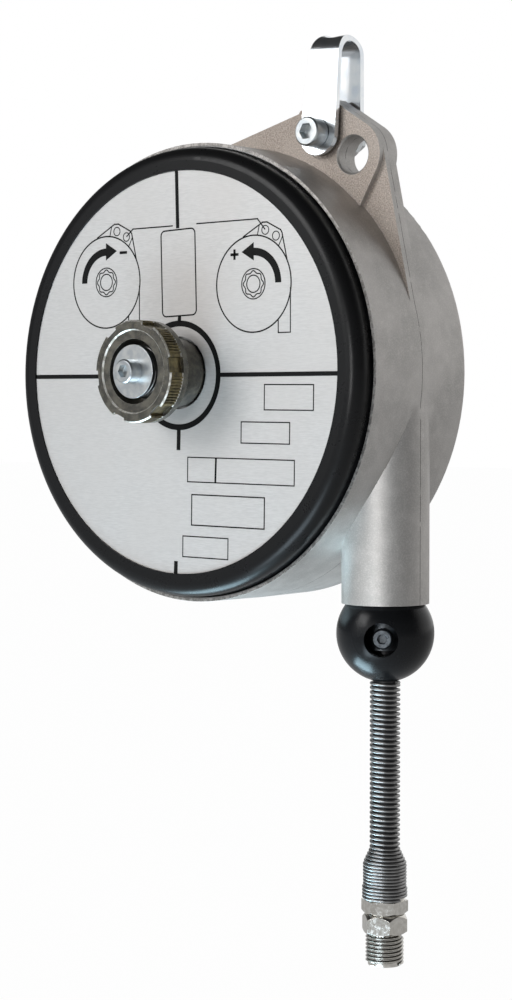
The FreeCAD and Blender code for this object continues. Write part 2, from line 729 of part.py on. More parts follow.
def front_cover():
    flange = COVER_FLANGE
    bead = COVER_BEAD
    round_top = bead - dim.bead_radius
    round_foot = COVER_FACE + dim.bead_radius
    plate = PLATE_ROOM
    inside = PLATE_SEAT + dim.cover_wall
    wall = dim.cover_wall
    body = turned("front_cover", [
        (dim.journal_radius + dim.running_gap + dim.bush_wall, WELL_FLOOR), (dim.plate_hole, WELL_FLOOR),
        (dim.plate_hole, PLATE_SEAT), (plate, PLATE_SEAT), (plate, COVER_FACE),
        (round_top, COVER_FACE, dim.bead_radius), (bead, round_foot), (bead, FLANGE_FRONT),
        (flange, FLANGE_FRONT), (flange, SEAT), (bead - wall, SEAT),
        (bead - wall, round_foot, wall - dim.bead_radius), (round_top, COVER_FACE + wall),
        (round_top, inside), (dim.cover_boss_radius, inside),
        (dim.cover_boss_radius, COVER_BOSS_END),
        (dim.journal_radius + dim.running_gap + dim.bush_wall, COVER_BOSS_END)])
    place_at_drum(body)


def name_plate():
    body = tube("name_plate", dim.plate_hole, PLATE_RADIUS, PLATE_FACE, PLATE_SEAT)
    place_at_drum(body)


def cover_retaining_ring():
    """Open wire ring, its section an octagon."""
    body = new_body("cover_retaining_ring")
    half = dim.ring_wire / 2
    section = outline(body, "wire_section", "XY_Plane",
                      octagon(RIM_INSIDE + dim.ring_groove - half, FLANGE_FRONT - half, half))
    revolution(body, "wire", section, 360 - dim.ring_gap_angle)
    place_at_drum(body)


def hose_guide():
    """Guide in the spout: a funnel above and a round seat for the ball below."""
    bottom = -(dim.spout_drop - dim.mouth_depth)
    top = bottom + dim.guide_height
    foot = -(BALL_DROP - dim.ball_radius) + dim.guide_rest
    seat = dim.hose_radius + dim.guide_room
    outside = dim.spout_bore - dim.running_gap
    body = turned_upright("hose_guide", [
        (seat, foot), (outside, foot + dim.guide_dish), (outside, top),
        (dim.spout_bore - dim.guide_wall, top), (seat, bottom + dim.guide_throat)])
    place_at_hose(body)


# ---------------------------------------------------------------- knob

def add_dogs(body, name, floor, height, upward):
    """Ring of dog teeth that stand along the drum axis."""
    half = dim.dog_width / 2
    tooth = outline(body, name + "_section", "XZ_Plane", [
        (dim.dog_inner + 0.3, -half), (dim.dog_outer, -half), (dim.dog_outer, half),
        (dim.dog_inner + 0.3, half)], -floor)
    first = pad(body, name, tooth, height, reverse=not upward)
    repeat(body, name + "_ring", [first], dim.dog_count, "Y_Axis")


def knob():
    chamfer = KNOB_FACE + dim.knob_edge
    knurl_end = chamfer + dim.knurl_length
    flange_end = knurl_end + dim.flange_length
    body = turned("knob", [
        (dim.dog_inner, NECK_END), (dim.neck_radius - 0.5, NECK_END), (dim.neck_radius, NECK_END - 0.5),
        (dim.neck_radius, flange_end), (dim.knob_radius - 0.6, flange_end),
        (dim.knob_radius - 0.1, flange_end - 0.5), (dim.knob_radius - 0.1, knurl_end),
        (dim.knob_radius, knurl_end - 0.3), (dim.knob_radius, chamfer),
        (dim.knob_radius - dim.knob_edge, KNOB_FACE), (dim.face_step_radius, KNOB_FACE),
        (dim.face_step_radius, KNOB_FACE + dim.face_step_depth),
        (dim.knob_bore, KNOB_FACE + dim.face_step_depth), (dim.knob_bore, KNOB_FLOOR),
        (dim.hex_flats / 2 - 1, KNOB_FLOOR), (dim.hex_flats / 2 - 1, NECK_END - 2),
        (dim.dog_inner, NECK_END - 2)])
    add_dogs(body, "dog", NECK_END - 0.01, dim.dog_height, upward=False)
    socket = outline(body, "drive_section", "XZ_Plane", hexagon(dim.hex_flats + 2 * dim.hex_gap))
    pocket(body, "drive_hexagon", socket, -2 * KNOB_FACE, symmetric=True)
    outer = dim.knob_radius + 2
    floor = dim.knob_radius - dim.notch_depth
    half = dim.notch_width / 2
    turn = 90 - dim.notch_turn
    mouth = half + dim.notch_flare
    across = [(floor, -half), (outer, -mouth), (outer, mouth), (floor, half)]
    corners = [(x * cos(turn) - y * sin(turn), x * sin(turn) + y * cos(turn)) for x, y in across]
    notch = outline(body, "notch_section", "XZ_Plane", corners, -KNOB_FACE)
    first = pocket(body, "notch", notch, dim.knob_edge + dim.knurl_length + 0.2)
    repeat(body, "notches", [first], dim.notch_count, "Y_Axis")
    place_at_drum(body)


def knob_washer():
    body = tube("knob_washer", dim.m5_radius + 0.15, dim.washer_radius, KNOB_FACE, WASHER_BACK)
    place_at_drum(body)


def cap_screw(name, head_radius, head_height, shank_radius, shank_length, socket, socket_depth):
    """Socket head screw along Y: head ahead of y = 0, shank behind it."""
    body = turned(name, [
        (0, -head_height), (head_radius - 0.5, -head_height), (head_radius, 0.5 - head_height),
        (head_radius, 0), (shank_radius, 0), (shank_radius, shank_length), (0, shank_length)])
    section = outline(body, name + "_socket_section", "XZ_Plane", hexagon(socket), head_height)
    pocket(body, name + "_socket", section, socket_depth)
    return body


def knob_screw():
    body = cap_screw("knob_screw", dim.m5_head_radius, dim.m5_head_height, dim.m5_radius,
                     dim.knob_screw_length, dim.m5_socket, dim.m5_socket_depth)
    bind(body, ".Placement.Base.y", KNOB_FACE)
    place_at_drum(body)


def knob_spring():
    """Return spring as its outer shape, a sleeve between the washer and the knob's floor."""
    corner = dim.hex_flats / 2 / cos(30)
    body = tube("knob_spring", corner + 0.1, dim.washer_radius - 0.1, WASHER_BACK, KNOB_FLOOR)
    place_at_drum(body)


def ratchet_ring():
    body = tube("ratchet_ring", dim.dog_inner - 0.6, dim.plate_hole - 0.05, RING_TOP, WELL_FLOOR)
    add_dogs(body, "tooth", RING_TOP, dim.ring_tooth_height, upward=True)
    place_at_drum(body)


# ---------------------------------------------------------------- arbor

def spring_arbor():
    hub_end = dim.arbor_hub_end
    body = turned("spring_arbor", [
        (0, WASHER_BACK), (dim.journal_radius, WASHER_BACK), (dim.journal_radius, ARBOR_COLLAR),
        (dim.arbor_hub, ARBOR_COLLAR), (dim.arbor_hub, hub_end), (dim.pilot_radius, hub_end),
        (dim.pilot_radius, hub_end + dim.pilot_length), (0, hub_end + dim.pilot_length)])
    rim = [(dim.journal_radius + 1) * factor for factor in (-1, 1)]
    square = [(rim[0], rim[0]), (rim[1], rim[0]), (rim[1], rim[1]), (rim[0], rim[1])]
    flats = outline(body, "round_section", "XZ_Plane", square, -WASHER_BACK)
    inner = hexagon(dim.hex_flats)
    add_polygon(flats, inner)
    pocket(body, "drive_hexagon", flats, JOURNAL_FRONT - WASHER_BACK)
    hole = ring(body, "thread_section", "XZ_Plane", 0, 0, dim.m5_radius + dim.screw_gap, -WASHER_BACK)
    pocket(body, "thread", hole, dim.knob_screw_length + 1)
    half = dim.hook_slot_width / 2
    slot = outline(body, "slot_section", "XZ_Plane", [
        (-half, dim.arbor_hub - dim.hook_slot_depth), (half, dim.arbor_hub - dim.hook_slot_depth),
        (half, dim.arbor_hub + 1), (-half, dim.arbor_hub + 1)], -hub_end)
    pocket(body, "hook_slot", slot, BAND_WIDTH + 2, reverse=True)
    place_at_drum(body)


def add_polygon(sketch, corners):
    """Second closed polygon in a sketch, inside the first."""
    points = [FreeCAD.Vector(number(x), number(y), 0) for x, y in corners]
    first = sketch.GeometryCount
    for index, point in enumerate(points):
        sketch.addGeometry(Part.LineSegment(point, points[(index + 1) % len(points)]))
    for index, (x, y) in enumerate(corners):
        following = first + (index + 1) % len(corners)
        sketch.addConstraint(Sketcher.Constraint("Coincident", first + index, 2, following, 1))
        fix_point(sketch, first + index, 1, x, y)


def arbor_bush():
    inner = dim.journal_radius + dim.running_gap
    place_at_drum(tube("arbor_bush", inner, inner + dim.bush_wall, WELL_FLOOR, COVER_BOSS_END))


# ---------------------------------------------------------------- drum

def drum():
    web_back = dim.web_front + dim.web_wall
    rim = GROOVE_ROOT - dim.drum_rim_wall
    flange_front = DRUM_FRONT + dim.drum_flange
    flange_rear = DRUM_REAR - dim.drum_flange
    bush_start = DRUM_REAR - dim.rear_bush_length
    hub_bore = dim.spindle_radius + dim.running_gap
    body = turned("drum", [
        (hub_bore, dim.web_front), (SPRING_ROOM, dim.web_front), (SPRING_ROOM, DRUM_FRONT),
        (DRUM_FLANGE_RADIUS, DRUM_FRONT), (DRUM_FLANGE_RADIUS, flange_front),
        (GROOVE_ROOT, flange_front), (GROOVE_ROOT, flange_rear), (DRUM_FLANGE_RADIUS, flange_rear),
        (DRUM_FLANGE_RADIUS, DRUM_REAR), (rim, DRUM_REAR), (rim, web_back),
        (dim.drum_hub_radius, web_back), (dim.drum_hub_radius, DRUM_REAR),
        (hub_bore + dim.bush_wall, DRUM_REAR), (hub_bore + dim.bush_wall, bush_start),
        (hub_bore, bush_start)])
    half = dim.rib_thickness / 2
    rib_start = dim.drum_hub_radius - 1
    rib_end = rim + 1
    ribs = []
    turn = 180 / dim.rib_count
    section = [(rib_start, -half), (rib_end, -half), (rib_end, half), (rib_start, half)]
    corners = [(x * cos(turn) - y * sin(turn), x * sin(turn) + y * cos(turn)) for x, y in section]
    rib = outline(body, "rib_section", "XZ_Plane", corners, -web_back)
    ribs.append(pad(body, "rib", rib, dim.rib_height, reverse=True))
    repeat(body, "ribs", ribs, dim.rib_count, "Y_Axis")

    boss = ring(body, "air_boss_section", "YZ_Plane", dim.air_path, 0, dim.air_boss, dim.drum_hub_radius - 1)
    pad(body, "air_boss", boss, FITTING_START - dim.drum_hub_radius + 1)
    path = ring(body, "air_path_section", "YZ_Plane", dim.air_path, 0, dim.air_bore)
    pocket(body, "air_path", path, FITTING_START + 1, reverse=True)
    seat = ring(body, "fitting_section", "YZ_Plane", dim.air_path, 0, dim.fitting_radius, FITTING_START)
    pocket(body, "fitting_seat", seat, PITCH_RADIUS - FITTING_START, reverse=True)

    screw = ring(body, "screw_section", "XZ_Plane", 0, CASE_SCREW_CIRCLE,
                 dim.case_screw_radius + dim.screw_gap, DRUM_REAR)
    hole = pocket(body, "screw_hole", screw, dim.case_screw_length)
    repeat(body, "screw_holes", [hole], dim.case_screw_count, "Y_Axis")
    place_at_drum(body)


def drum_air_fitting():
    """Fitting that carries air from the drum's passage into the hose's first turn."""
    body = new_body("drum_air_fitting")
    profile = outline(body, "fitting_profile", "XY_Plane", [
        (FITTING_START, dim.air_path + dim.air_bore), (FITTING_END, dim.air_path + dim.air_bore),
        (FITTING_END, dim.air_path + dim.fitting_radius - dim.screw_gap),
        (FITTING_START, dim.air_path + dim.fitting_radius - dim.screw_gap)])
    axis = profile.addGeometry(Part.LineSegment(FreeCAD.Vector(0, number(dim.air_path), 0),
                                                FreeCAD.Vector(number(FITTING_END), number(dim.air_path), 0)), True)
    profile.addConstraint(Sketcher.Constraint("Horizontal", axis))
    fix_point(profile, axis, 1, 0, dim.air_path)
    item = feature(body, "PartDesign::Revolution", "fitting_turn", profile)
    item.ReferenceAxis = (profile, ["Axis0"])
    item.Angle = 360
    place_at_drum(body)


def spring_case_cover():
    boss = dim.arbor_hub + dim.running_gap + dim.bush_wall
    body = turned("spring_case_cover", [
        (boss, CASE_FRONT), (GROOVE_ROOT, CASE_FRONT), (GROOVE_ROOT, DRUM_FRONT),
        (boss + dim.bush_wall, DRUM_FRONT), (boss + dim.bush_wall, CASE_BOSS_END), (boss, CASE_BOSS_END)])
    section = ring(body, "screw_section", "XZ_Plane", 0, CASE_SCREW_CIRCLE,
                   dim.case_screw_radius + dim.screw_gap, -CASE_FRONT)
    hole = pocket(body, "screw_hole", section, dim.case_cover)
    repeat(body, "screw_holes", [hole], dim.case_screw_count, "Y_Axis")
    place_at_drum(body)


def case_screws():
    """The chamber cover's screws, one separate solid for each."""
    front = CASE_FRONT - dim.case_screw_rise
    body = new_body("case_screw")
    profile = outline(body, "case_screw_profile", "XY_Plane", [
        (0, front), (dim.case_screw_head - 0.6, front), (dim.case_screw_head, front + 0.8),
        (dim.case_screw_head, CASE_FRONT), (dim.case_screw_radius, CASE_FRONT),
        (dim.case_screw_radius, CASE_FRONT + dim.case_screw_length),
        (0, CASE_FRONT + dim.case_screw_length)])
    revolution(body, "case_screw_turn", profile)
    doc.recompute()
    screws = []
    for index in range(round(number(dim.case_screw_count))):
        angle = 360 / number(dim.case_screw_count) * index
        screw = body.Shape.copy()
        screw.translate(FreeCAD.Vector(0, 0, number(CASE_SCREW_CIRCLE)))
        screw.rotate(FreeCAD.Vector(), FreeCAD.Vector(0, 1, 0), angle)
        screws.append(screw)
    item = doc.addObject("Part::Feature", "case_screws")
    item.Label = "case_screws"
    item.Shape = Part.makeCompound(screws)
    place_at_drum(item)


def drum_bushes():
    inner = dim.arbor_hub + dim.running_gap
    place_at_drum(tube("drum_front_bush", inner, inner + dim.bush_wall, CASE_FRONT + 0.3,
                       CASE_BOSS_END))
    inner = dim.spindle_radius + dim.running_gap
    place_at_drum(tube("drum_rear_bush", inner, inner + dim.bush_wall,
                       DRUM_REAR - dim.rear_bush_length, DRUM_REAR))


def wound_hose():
    """The hose's turns side by side on the drum, as the outer shape of the winding."""
    turns = int(number(DRUM_REAR - dim.drum_flange) * 2 / number(dim.turn_pitch))
    half = dim.turn_pitch * turns / 2
    radius = dim.hose_radius
    flat = radius * tan(22.5)
    corners = [(GROOVE_ROOT, half), (GROOVE_ROOT, -half)]
    for index in range(turns):
        middle = dim.turn_pitch * (index - (turns - 1) / 2)
        corners.append((PITCH_RADIUS, middle - radius))
        corners.append((PITCH_RADIUS + radius, middle - flat))
        corners.append((PITCH_RADIUS + radius, middle + flat))
        corners.append((PITCH_RADIUS, middle + radius))
    place_at_drum(turned("wound_hose", corners))


def power_spring():
    """Flat spiral of half turns whose centres change sides, hooked over at its outer end."""
    thickness = number(dim.band_thickness)
    inner = number(dim.band_inner)
    outer = number(SPRING_ROOM)
    halves = 2 * round(number(dim.band_turns))
    growth = (outer - thickness - inner) / halves
    edges_in, edges_out = [], []
    for half in range(halves):
        side = 1 if half % 2 == 0 else -1
        radius = inner + growth * (half + 0.5)
        centre = FreeCAD.Vector(side * growth / 2, 0, 0)
        for edges, extra in ((edges_in, 0), (edges_out, thickness)):
            reach = radius + extra
            points = [centre + FreeCAD.Vector(-side * reach, 0, 0), centre + FreeCAD.Vector(0, 0, side * reach),
                      centre + FreeCAD.Vector(side * reach, 0, 0)]
            edges.append(Part.Arc(*points).toShape())
    ends = [Part.LineSegment(edges_in[place].Vertexes[place].Point, edges_out[place].Vertexes[place].Point).toShape()
            for place in (0, -1)]
    wire = Part.Wire(Part.__sortEdges__(edges_in + [ends[1]] + edges_out + [ends[0]]))
    band = Part.Face(wire).extrude(FreeCAD.Vector(0, number(BAND_WIDTH), 0))
    band.translate(FreeCAD.Vector(0, number(BAND_FRONT), 0))
    item = doc.addObject("Part::Feature", "power_spring")
    item.Label = "power_spring"
    item.Shape = band
    place_at_drum(item)


# ---------------------------------------------------------------- air spindle

def air_spindle():
    seal = dim.seal_section + 0.2
    journal = dim.spindle_radius
    floor = dim.seal_groove
    air = 1.5
    hexagon_end = BOSS_OUTSIDE + dim.spindle_hex_height
    inlet_end = hexagon_end - dim.inlet_depth
    corner = dim.spindle_hex / 2 / cos(30)
    body = turned("air_spindle", [
        (dim.pilot_radius + dim.running_gap, SPINDLE_FRONT), (journal, SPINDLE_FRONT),
        (journal, dim.seal_front - seal), (floor, dim.seal_front - seal),
        (floor, dim.seal_front + seal), (journal, dim.seal_front + seal),
        (journal, dim.air_path - air), (floor, dim.air_path - air),
        (floor, dim.air_path + air), (journal, dim.air_path + air),
        (journal, dim.seal_rear - seal), (floor, dim.seal_rear - seal),
        (floor, dim.seal_rear + seal), (journal, dim.seal_rear + seal),
        (journal, BOSS_INSIDE), (dim.spindle_seat, BOSS_INSIDE), (dim.spindle_seat, BOSS_OUTSIDE),
        (corner, BOSS_OUTSIDE), (corner, hexagon_end), (dim.inlet_radius, hexagon_end),
        (dim.inlet_radius, inlet_end), (2 * dim.air_bore, inlet_end),
        (2 * dim.air_bore, dim.air_path - 2 * dim.air_bore), (0, dim.air_path - 2 * dim.air_bore),
        (0, SPINDLE_FRONT + dim.pilot_length), (dim.pilot_radius + dim.running_gap, SPINDLE_FRONT + dim.pilot_length)])
    cross = ring(body, "cross_section", "XY_Plane", 0, dim.air_path, dim.air_bore)
    pocket(body, "cross_hole", cross, 3 * dim.spindle_radius, symmetric=True)
    reach = corner + 1
    flats = outline(body, "flats_section", "XZ_Plane",
                    [(-reach, -reach), (reach, -reach), (reach, reach), (-reach, reach)], -hexagon_end)
    add_polygon(flats, hexagon(dim.spindle_hex))
    pocket(body, "flats", flats, dim.spindle_hex_height, reverse=True)
    place_at_drum(body)


def spindle_seals():
    """Two seals in the spindle's grooves, one separate solid for each."""
    seal = new_body("seal")
    section = outline(seal, "seal_section", "XY_Plane",
                      octagon(dim.spindle_radius - dim.seal_section, 0, dim.seal_section))
    revolution(seal, "seal_turn", section)
    doc.recompute()
    seals = []
    for level in (dim.seal_front, dim.seal_rear):
        copy = seal.Shape.copy()
        copy.translate(FreeCAD.Vector(0, number(level), 0))
        seals.append(copy)
    item = doc.addObject("Part::Feature", "spindle_seals")
    item.Label = "spindle_seals"
    item.Shape = Part.makeCompound(seals)
    place_at_drum(item)


# ---------------------------------------------------------------- suspension strap

STRAP_CREST = dim.strap_reach + dim.strap_saddle + dim.strap_thickness


def suspension_strap():
    """U-shaped strap: a bend seen from the side, a hollow crest and round feet seen from the front."""
    outside = strap_bend("strap_outside", 0)
    inside = strap_bend("strap_inside", dim.strap_thickness)
    end = dim.strap_end_radius
    half = dim.strap_top_width / 2
    shoulder = dim.strap_shoulder_width / 2
    shoulder_level = STRAP_CREST - dim.strap_shoulder_drop
    sag, bow = dim.strap_saddle, dim.strap_shoulder_radius
    saddle = (half * half + sag * sag) / (2 * sag)
    depth = 2 * dim.strap_half_foot + 2
    blank = new_body("strap_blank")
    front = outline(blank, "blank_section", "XZ_Plane", [
        (-end, 0, end), (0, -end, end), (end, 0), (shoulder, shoulder_level, bow), (half, STRAP_CREST, -saddle),
        (0, STRAP_CREST - sag, -saddle), (-half, STRAP_CREST, bow), (-shoulder, shoulder_level)])
    pad(blank, "blank", front, depth, symmetric=True)
    hole = ring(blank, "hole_section", "XZ_Plane", 0, 0, dim.m6_radius + 0.1)
    pocket(blank, "screw_hole", hole, depth, symmetric=True)

    under = saddle + dim.strap_thickness
    under_edge = STRAP_CREST - sag + saddle - hypot_leg(under, half)
    room = new_body("strap_room")
    below = outline(room, "room_section", "XZ_Plane", [
        (-end - 1, -end - 2), (end + 1, -end - 2), (end + 1, STRAP_CREST), (half, STRAP_CREST),
        (half, under_edge, -under), (0, STRAP_CREST - sag - dim.strap_thickness, -under),
        (-half, under_edge), (-half, STRAP_CREST), (-end - 1, STRAP_CREST)])
    pad(room, "room", below, depth, symmetric=True)
    whole = boolean("Part::Common", "strap_whole", outside, blank)
    hollow = boolean("Part::Common", "strap_hollow", inside, room)
    strap = boolean("Part::Cut", "suspension_strap", whole, hollow)
    lean(strap)
    place_at_pivot(strap)


def strap_bend(name, inset):
    """Solid U seen from the side, its outline set in by a thickness."""
    top, foot = dim.strap_half_top - inset, dim.strap_half_foot - inset
    centre = STRAP_CREST - dim.strap_half_top
    low = -dim.strap_end_radius - (1 if inset else 0)
    body = new_body(name)
    section = outline(body, name + "_section", "YZ_Plane", [
        (foot, low), (top, centre, top), (0, centre + top, top), (-top, centre), (-foot, low)])
    pad(body, name + "_pad", section, 2 * dim.strap_end_radius + 4, symmetric=True)
    return body


def lean(item):
    """Turn a piece about the pivot by the strap's lean."""
    item.Placement.Rotation = FreeCAD.Rotation(FreeCAD.Vector(0, 1, 0), number(dim.strap_lean))


def strap_inside():
    """Half the room between the strap's legs at the pivot."""
    top, foot = dim.strap_half_top, dim.strap_half_foot
    centre = STRAP_CREST - top
    slope = (foot - top) / (centre + dim.strap_end_radius)
    return foot - slope * dim.strap_end_radius - dim.strap_thickness


def strap_spacer():
    half = strap_inside() - 0.25
    place_at_pivot(tube("strap_spacer", dim.m6_radius + 0.1, dim.spacer_radius, -half, half))


def strap_screw():
    outside = strap_inside() + dim.strap_thickness + 0.25
    body = cap_screw("strap_screw", dim.m6_head_radius, 2 * dim.m6_radius, dim.m6_radius,
                     2 * outside + dim.m6_nut_height + 1, dim.m6_socket, dim.m6_socket_depth)
    bind(body, ".Placement.Base.y", -outside)
    place_at_pivot(body)


def strap_lock_nut():
    outside = strap_inside() + dim.strap_thickness + 0.25
    corner = dim.m6_nut / 2 / cos(30)
    body = turned("strap_lock_nut", [
        (dim.m6_radius + dim.screw_gap, outside), (corner - 0.4, outside), (corner, outside + 0.4),
        (corner, outside + 0.7 * dim.m6_nut_height), (dim.m6_nut / 2 - 0.3, outside + 0.8 * dim.m6_nut_height),
        (dim.m6_nut / 2 - 0.8, outside + dim.m6_nut_height),
        (dim.m6_radius + dim.screw_gap, outside + dim.m6_nut_height)])
    reach = corner + 1
    flats = outline(body, "flats_section", "XZ_Plane",
                    [(-reach, -reach), (reach, -reach), (reach, reach), (-reach, reach)], -outside)
    add_polygon(flats, hexagon(dim.m6_nut, 30))
    pocket(body, "flats", flats, dim.m6_nut_height)
    place_at_pivot(body)


# ---------------------------------------------------------------- hose end

def stop_ball():
    """Ball in two quarter arcs each side, hollow for the collar, with a side hole to its screw."""
    middle = -BALL_DROP
    radius = dim.ball_radius
    bore = dim.hose_radius + dim.clamp_gap
    pole = BALL_POLE
    collar = dim.clamp_radius + dim.clamp_gap
    height = dim.clamp_half_height + dim.clamp_gap
    body = turned_upright("stop_ball", [
        (bore, middle - pole, radius), (radius, middle, radius), (bore, middle + pole),
        (bore, middle + height), (collar, middle + height), (collar, middle - height),
        (bore, middle - height)])
    hole = new_sketch(body, "side_hole_section", "XZ_Plane")
    hole.AttachmentOffset = FreeCAD.Placement(
        FreeCAD.Vector(), FreeCAD.Rotation(FreeCAD.Vector(0, 1, 0), number(dim.ball_hole_turn)))
    edge = hole.addGeometry(Part.Circle(FreeCAD.Vector(), FreeCAD.Vector(0, 0, 1), number(dim.ball_hole_radius)))
    index = hole.addConstraint(Sketcher.Constraint("Radius", edge, number(dim.ball_hole_radius)))
    bind(hole, f"Constraints[{index}]", dim.ball_hole_radius)
    fix_point(hole, edge, 3, 0, middle - dim.ball_hole_drop)
    pocket(body, "side_hole", hole, radius, reverse=True)
    place_at_hose(body)


def clamp_direction(item, distance):
    """Point a piece drawn along -Y out of the ball's side hole, a distance from the hose line."""
    turn = dim.ball_hole_turn
    item.Placement.Rotation = FreeCAD.Rotation(FreeCAD.Vector(0, 0, 1), number(turn))
    bind(item, ".Placement.Base.y", -distance * cos(turn))
    place(item, DRUM_X + PITCH_RADIUS + distance * sin(turn), DRUM_Z - BALL_DROP - dim.ball_hole_drop)


def stop_clamp():
    middle = -BALL_DROP
    body = upright_tube("stop_clamp", dim.hose_radius, dim.clamp_radius, middle - dim.clamp_half_height,
                        middle + dim.clamp_half_height)
    hole = new_sketch(body, "screw_section", "XZ_Plane")
    hole.AttachmentOffset = FreeCAD.Placement(
        FreeCAD.Vector(), FreeCAD.Rotation(FreeCAD.Vector(0, 1, 0), number(dim.ball_hole_turn)))
    edge = hole.addGeometry(Part.Circle(FreeCAD.Vector(), FreeCAD.Vector(0, 0, 1), number(dim.m4_radius)))
    radius = dim.m4_radius + dim.screw_gap
    index = hole.addConstraint(Sketcher.Constraint("Radius", edge, number(radius)))
    bind(hole, f"Constraints[{index}]", radius)
    fix_point(hole, edge, 3, 0, middle - dim.ball_hole_drop)
    pocket(body, "screw_hole", hole, dim.clamp_radius + 1, reverse=True)
    place_at_hose(body)


def stop_clamp_screw():
    length = dim.clamp_radius - dim.hose_radius - 0.2
    body = cap_screw("stop_clamp_screw", dim.m4_head_radius, 2 * dim.m4_radius, dim.m4_radius, length,
                     dim.m4_socket, dim.m4_socket_depth)
    clamp_direction(body, dim.clamp_radius)


def hoses():
    """Straight hose from the drum to the ball, and the tail that hangs below it."""
    lead = upright_tube("hose_lead", dim.hose_bore, dim.hose_radius, -LEAD_END, -dim.lead_start)
    place_at_hose(lead)
    tail = upright_tube("hose_tail", dim.hose_bore, dim.hose_radius, -HOSE_END, -LEAD_END)
    place_at_hose(tail)


def guard_spring():
    """Guard spring as the outer shape of its coils, with a valley between each turn and the next."""
    inner = dim.hose_radius + 0.1
    end_inner = dim.end_coil_radius - dim.coil_wire
    body = turned_upright("guard_spring", [
        (inner, -COIL_END), (end_inner, -END_COIL_TOP), (end_inner, -END_COIL_END),
        (dim.end_coil_radius, -END_COIL_END), (dim.end_coil_radius, -END_COIL_TOP),
        (dim.coil_radius, -COIL_END), (dim.coil_radius, -COIL_TOP), (inner, -COIL_TOP)])
    cut_valleys(body, "open", dim.coil_radius, -COIL_TOP, dim.coil_pitch, dim.coil_turns)
    cut_valleys(body, "end", dim.end_coil_radius, -END_COIL_TOP, dim.end_coil_pitch, dim.end_coil_turns)
    place_at_hose(body)


def cut_valleys(body, name, radius, top, pitch, turns):
    """Row of V grooves, one between each two of a coil's turns."""
    half = 0.4 * pitch
    floor = radius - dim.coil_wire / 2
    level = top - pitch
    valley = outline(body, name + "_valley_section", "XZ_Plane", [
        (floor, level), (radius + 0.1, level - half), (radius + 0.1, level + half)])
    first = groove(body, name + "_valley", valley)
    row = body.newObject("PartDesign::LinearPattern", name + "_valleys")
    row.Originals = [first]
    row.Direction = (plane_of(body, "Z_Axis"), [""])
    row.Reversed = True
    bind(row, "Length", pitch * (turns - 2))
    bind(row, "Occurrences", turns - 1)
    body.Tip = row
    doc.recompute()


def hex_piece(name, corners, level, height, turn):
    """Turned piece whose widest part is milled to a hexagon, level and height from the drum axis down."""
    body = turned_upright(name, corners)
    corner = dim.nut_flats / 2 / cos(30)
    reach = corner + 1
    flats = outline(body, name + "_flats_section", "XY_Plane",
                    [(-reach, -reach), (reach, -reach), (reach, reach), (-reach, reach)], -level)
    add_polygon(flats, hexagon(dim.nut_flats, turn))
    pocket(body, name + "_flats", flats, height)
    return body


def hose_nut():
    corner = dim.nut_flats / 2 / cos(30)
    grip = dim.end_coil_radius - dim.coil_wire - 0.02
    top, bottom = -END_COIL_END, -NUT_BOTTOM
    body = hex_piece("hose_nut", [
        (dim.hose_radius + dim.screw_gap, top + dim.nut_grip), (dim.hose_radius + dim.screw_gap, -HOSE_END),
        (dim.nut_thread + dim.screw_gap, -HOSE_END), (dim.nut_thread + dim.screw_gap, bottom),
        (dim.nut_flats / 2 - 0.2, bottom), (corner, bottom + dim.nut_chamfer), (corner, top), (grip, top),
        (grip, top + dim.nut_grip)], END_COIL_END, dim.hose_nut_height, dim.nut_turn)
    place_at_hose(body)


def hose_nipple():
    corner = dim.nut_flats / 2 / cos(30)
    top, bottom = -NIPPLE_TOP, -NIPPLE_HEX_END
    barb = dim.hose_bore - 0.02
    body = hex_piece("hose_nipple", [
        (dim.nipple_bore, -THREAD_END), (dim.thread_radius - 0.9, -THREAD_END),
        (dim.thread_radius, 0.9 - THREAD_END), (dim.thread_radius, bottom - 1.2),
        (dim.thread_radius - 0.7, bottom - 0.6), (dim.thread_radius - 0.7, bottom),
        (dim.nut_flats / 2 - 0.2, bottom), (corner, bottom + dim.nut_chamfer),
        (corner, top - dim.nipple_chamfer),
        (dim.nut_flats / 2 - 0.2, top), (dim.nut_thread, top), (dim.nut_thread, -HOSE_END - 0.1),
        (barb, -HOSE_END - 0.1), (barb, dim.barb_length - HOSE_END), (dim.nipple_bore, dim.barb_length - HOSE_END)],
        NIPPLE_TOP, dim.nipple_hex_height, dim.nipple_turn)
    place_at_hose(body)


# ---------------------------------------------------------------- build and write

def check_document():
    doc.recompute()
    for item in doc.Objects:
        if "Invalid" in item.State or "Error" in item.State:
            raise RuntimeError(f"{item.Label} failed: {item.State}")
    for item in finished:
        if item.Shape.isNull() or not item.Shape.isValid() or not item.Shape.Solids:
            raise RuntimeError(f"{item.Label} has no valid solid")


def write_parts():
    os.makedirs("parts", exist_ok=True)
    for item in finished:
        item.Shape.exportStep(f"parts/{item.Label}.step")


for make in (housing, front_cover, name_plate, cover_retaining_ring, hose_guide, knob, knob_washer,
             knob_screw, knob_spring, ratchet_ring, spring_arbor, arbor_bush, drum, drum_air_fitting,
             spring_case_cover, case_screws, drum_bushes, wound_hose, power_spring, air_spindle,
             spindle_seals, suspension_strap, strap_spacer, strap_screw, strap_lock_nut, stop_ball,
             stop_clamp, stop_clamp_screw, hoses, guard_spring, hose_nut, hose_nipple):
    make()
check_document()
write_parts()
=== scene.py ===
"""Looks of the tool balancer: castings, printed plate, knurled knob, coiled springs and threads."""
import json
import math

import bpy
from mathutils import Euler, Matrix, Vector

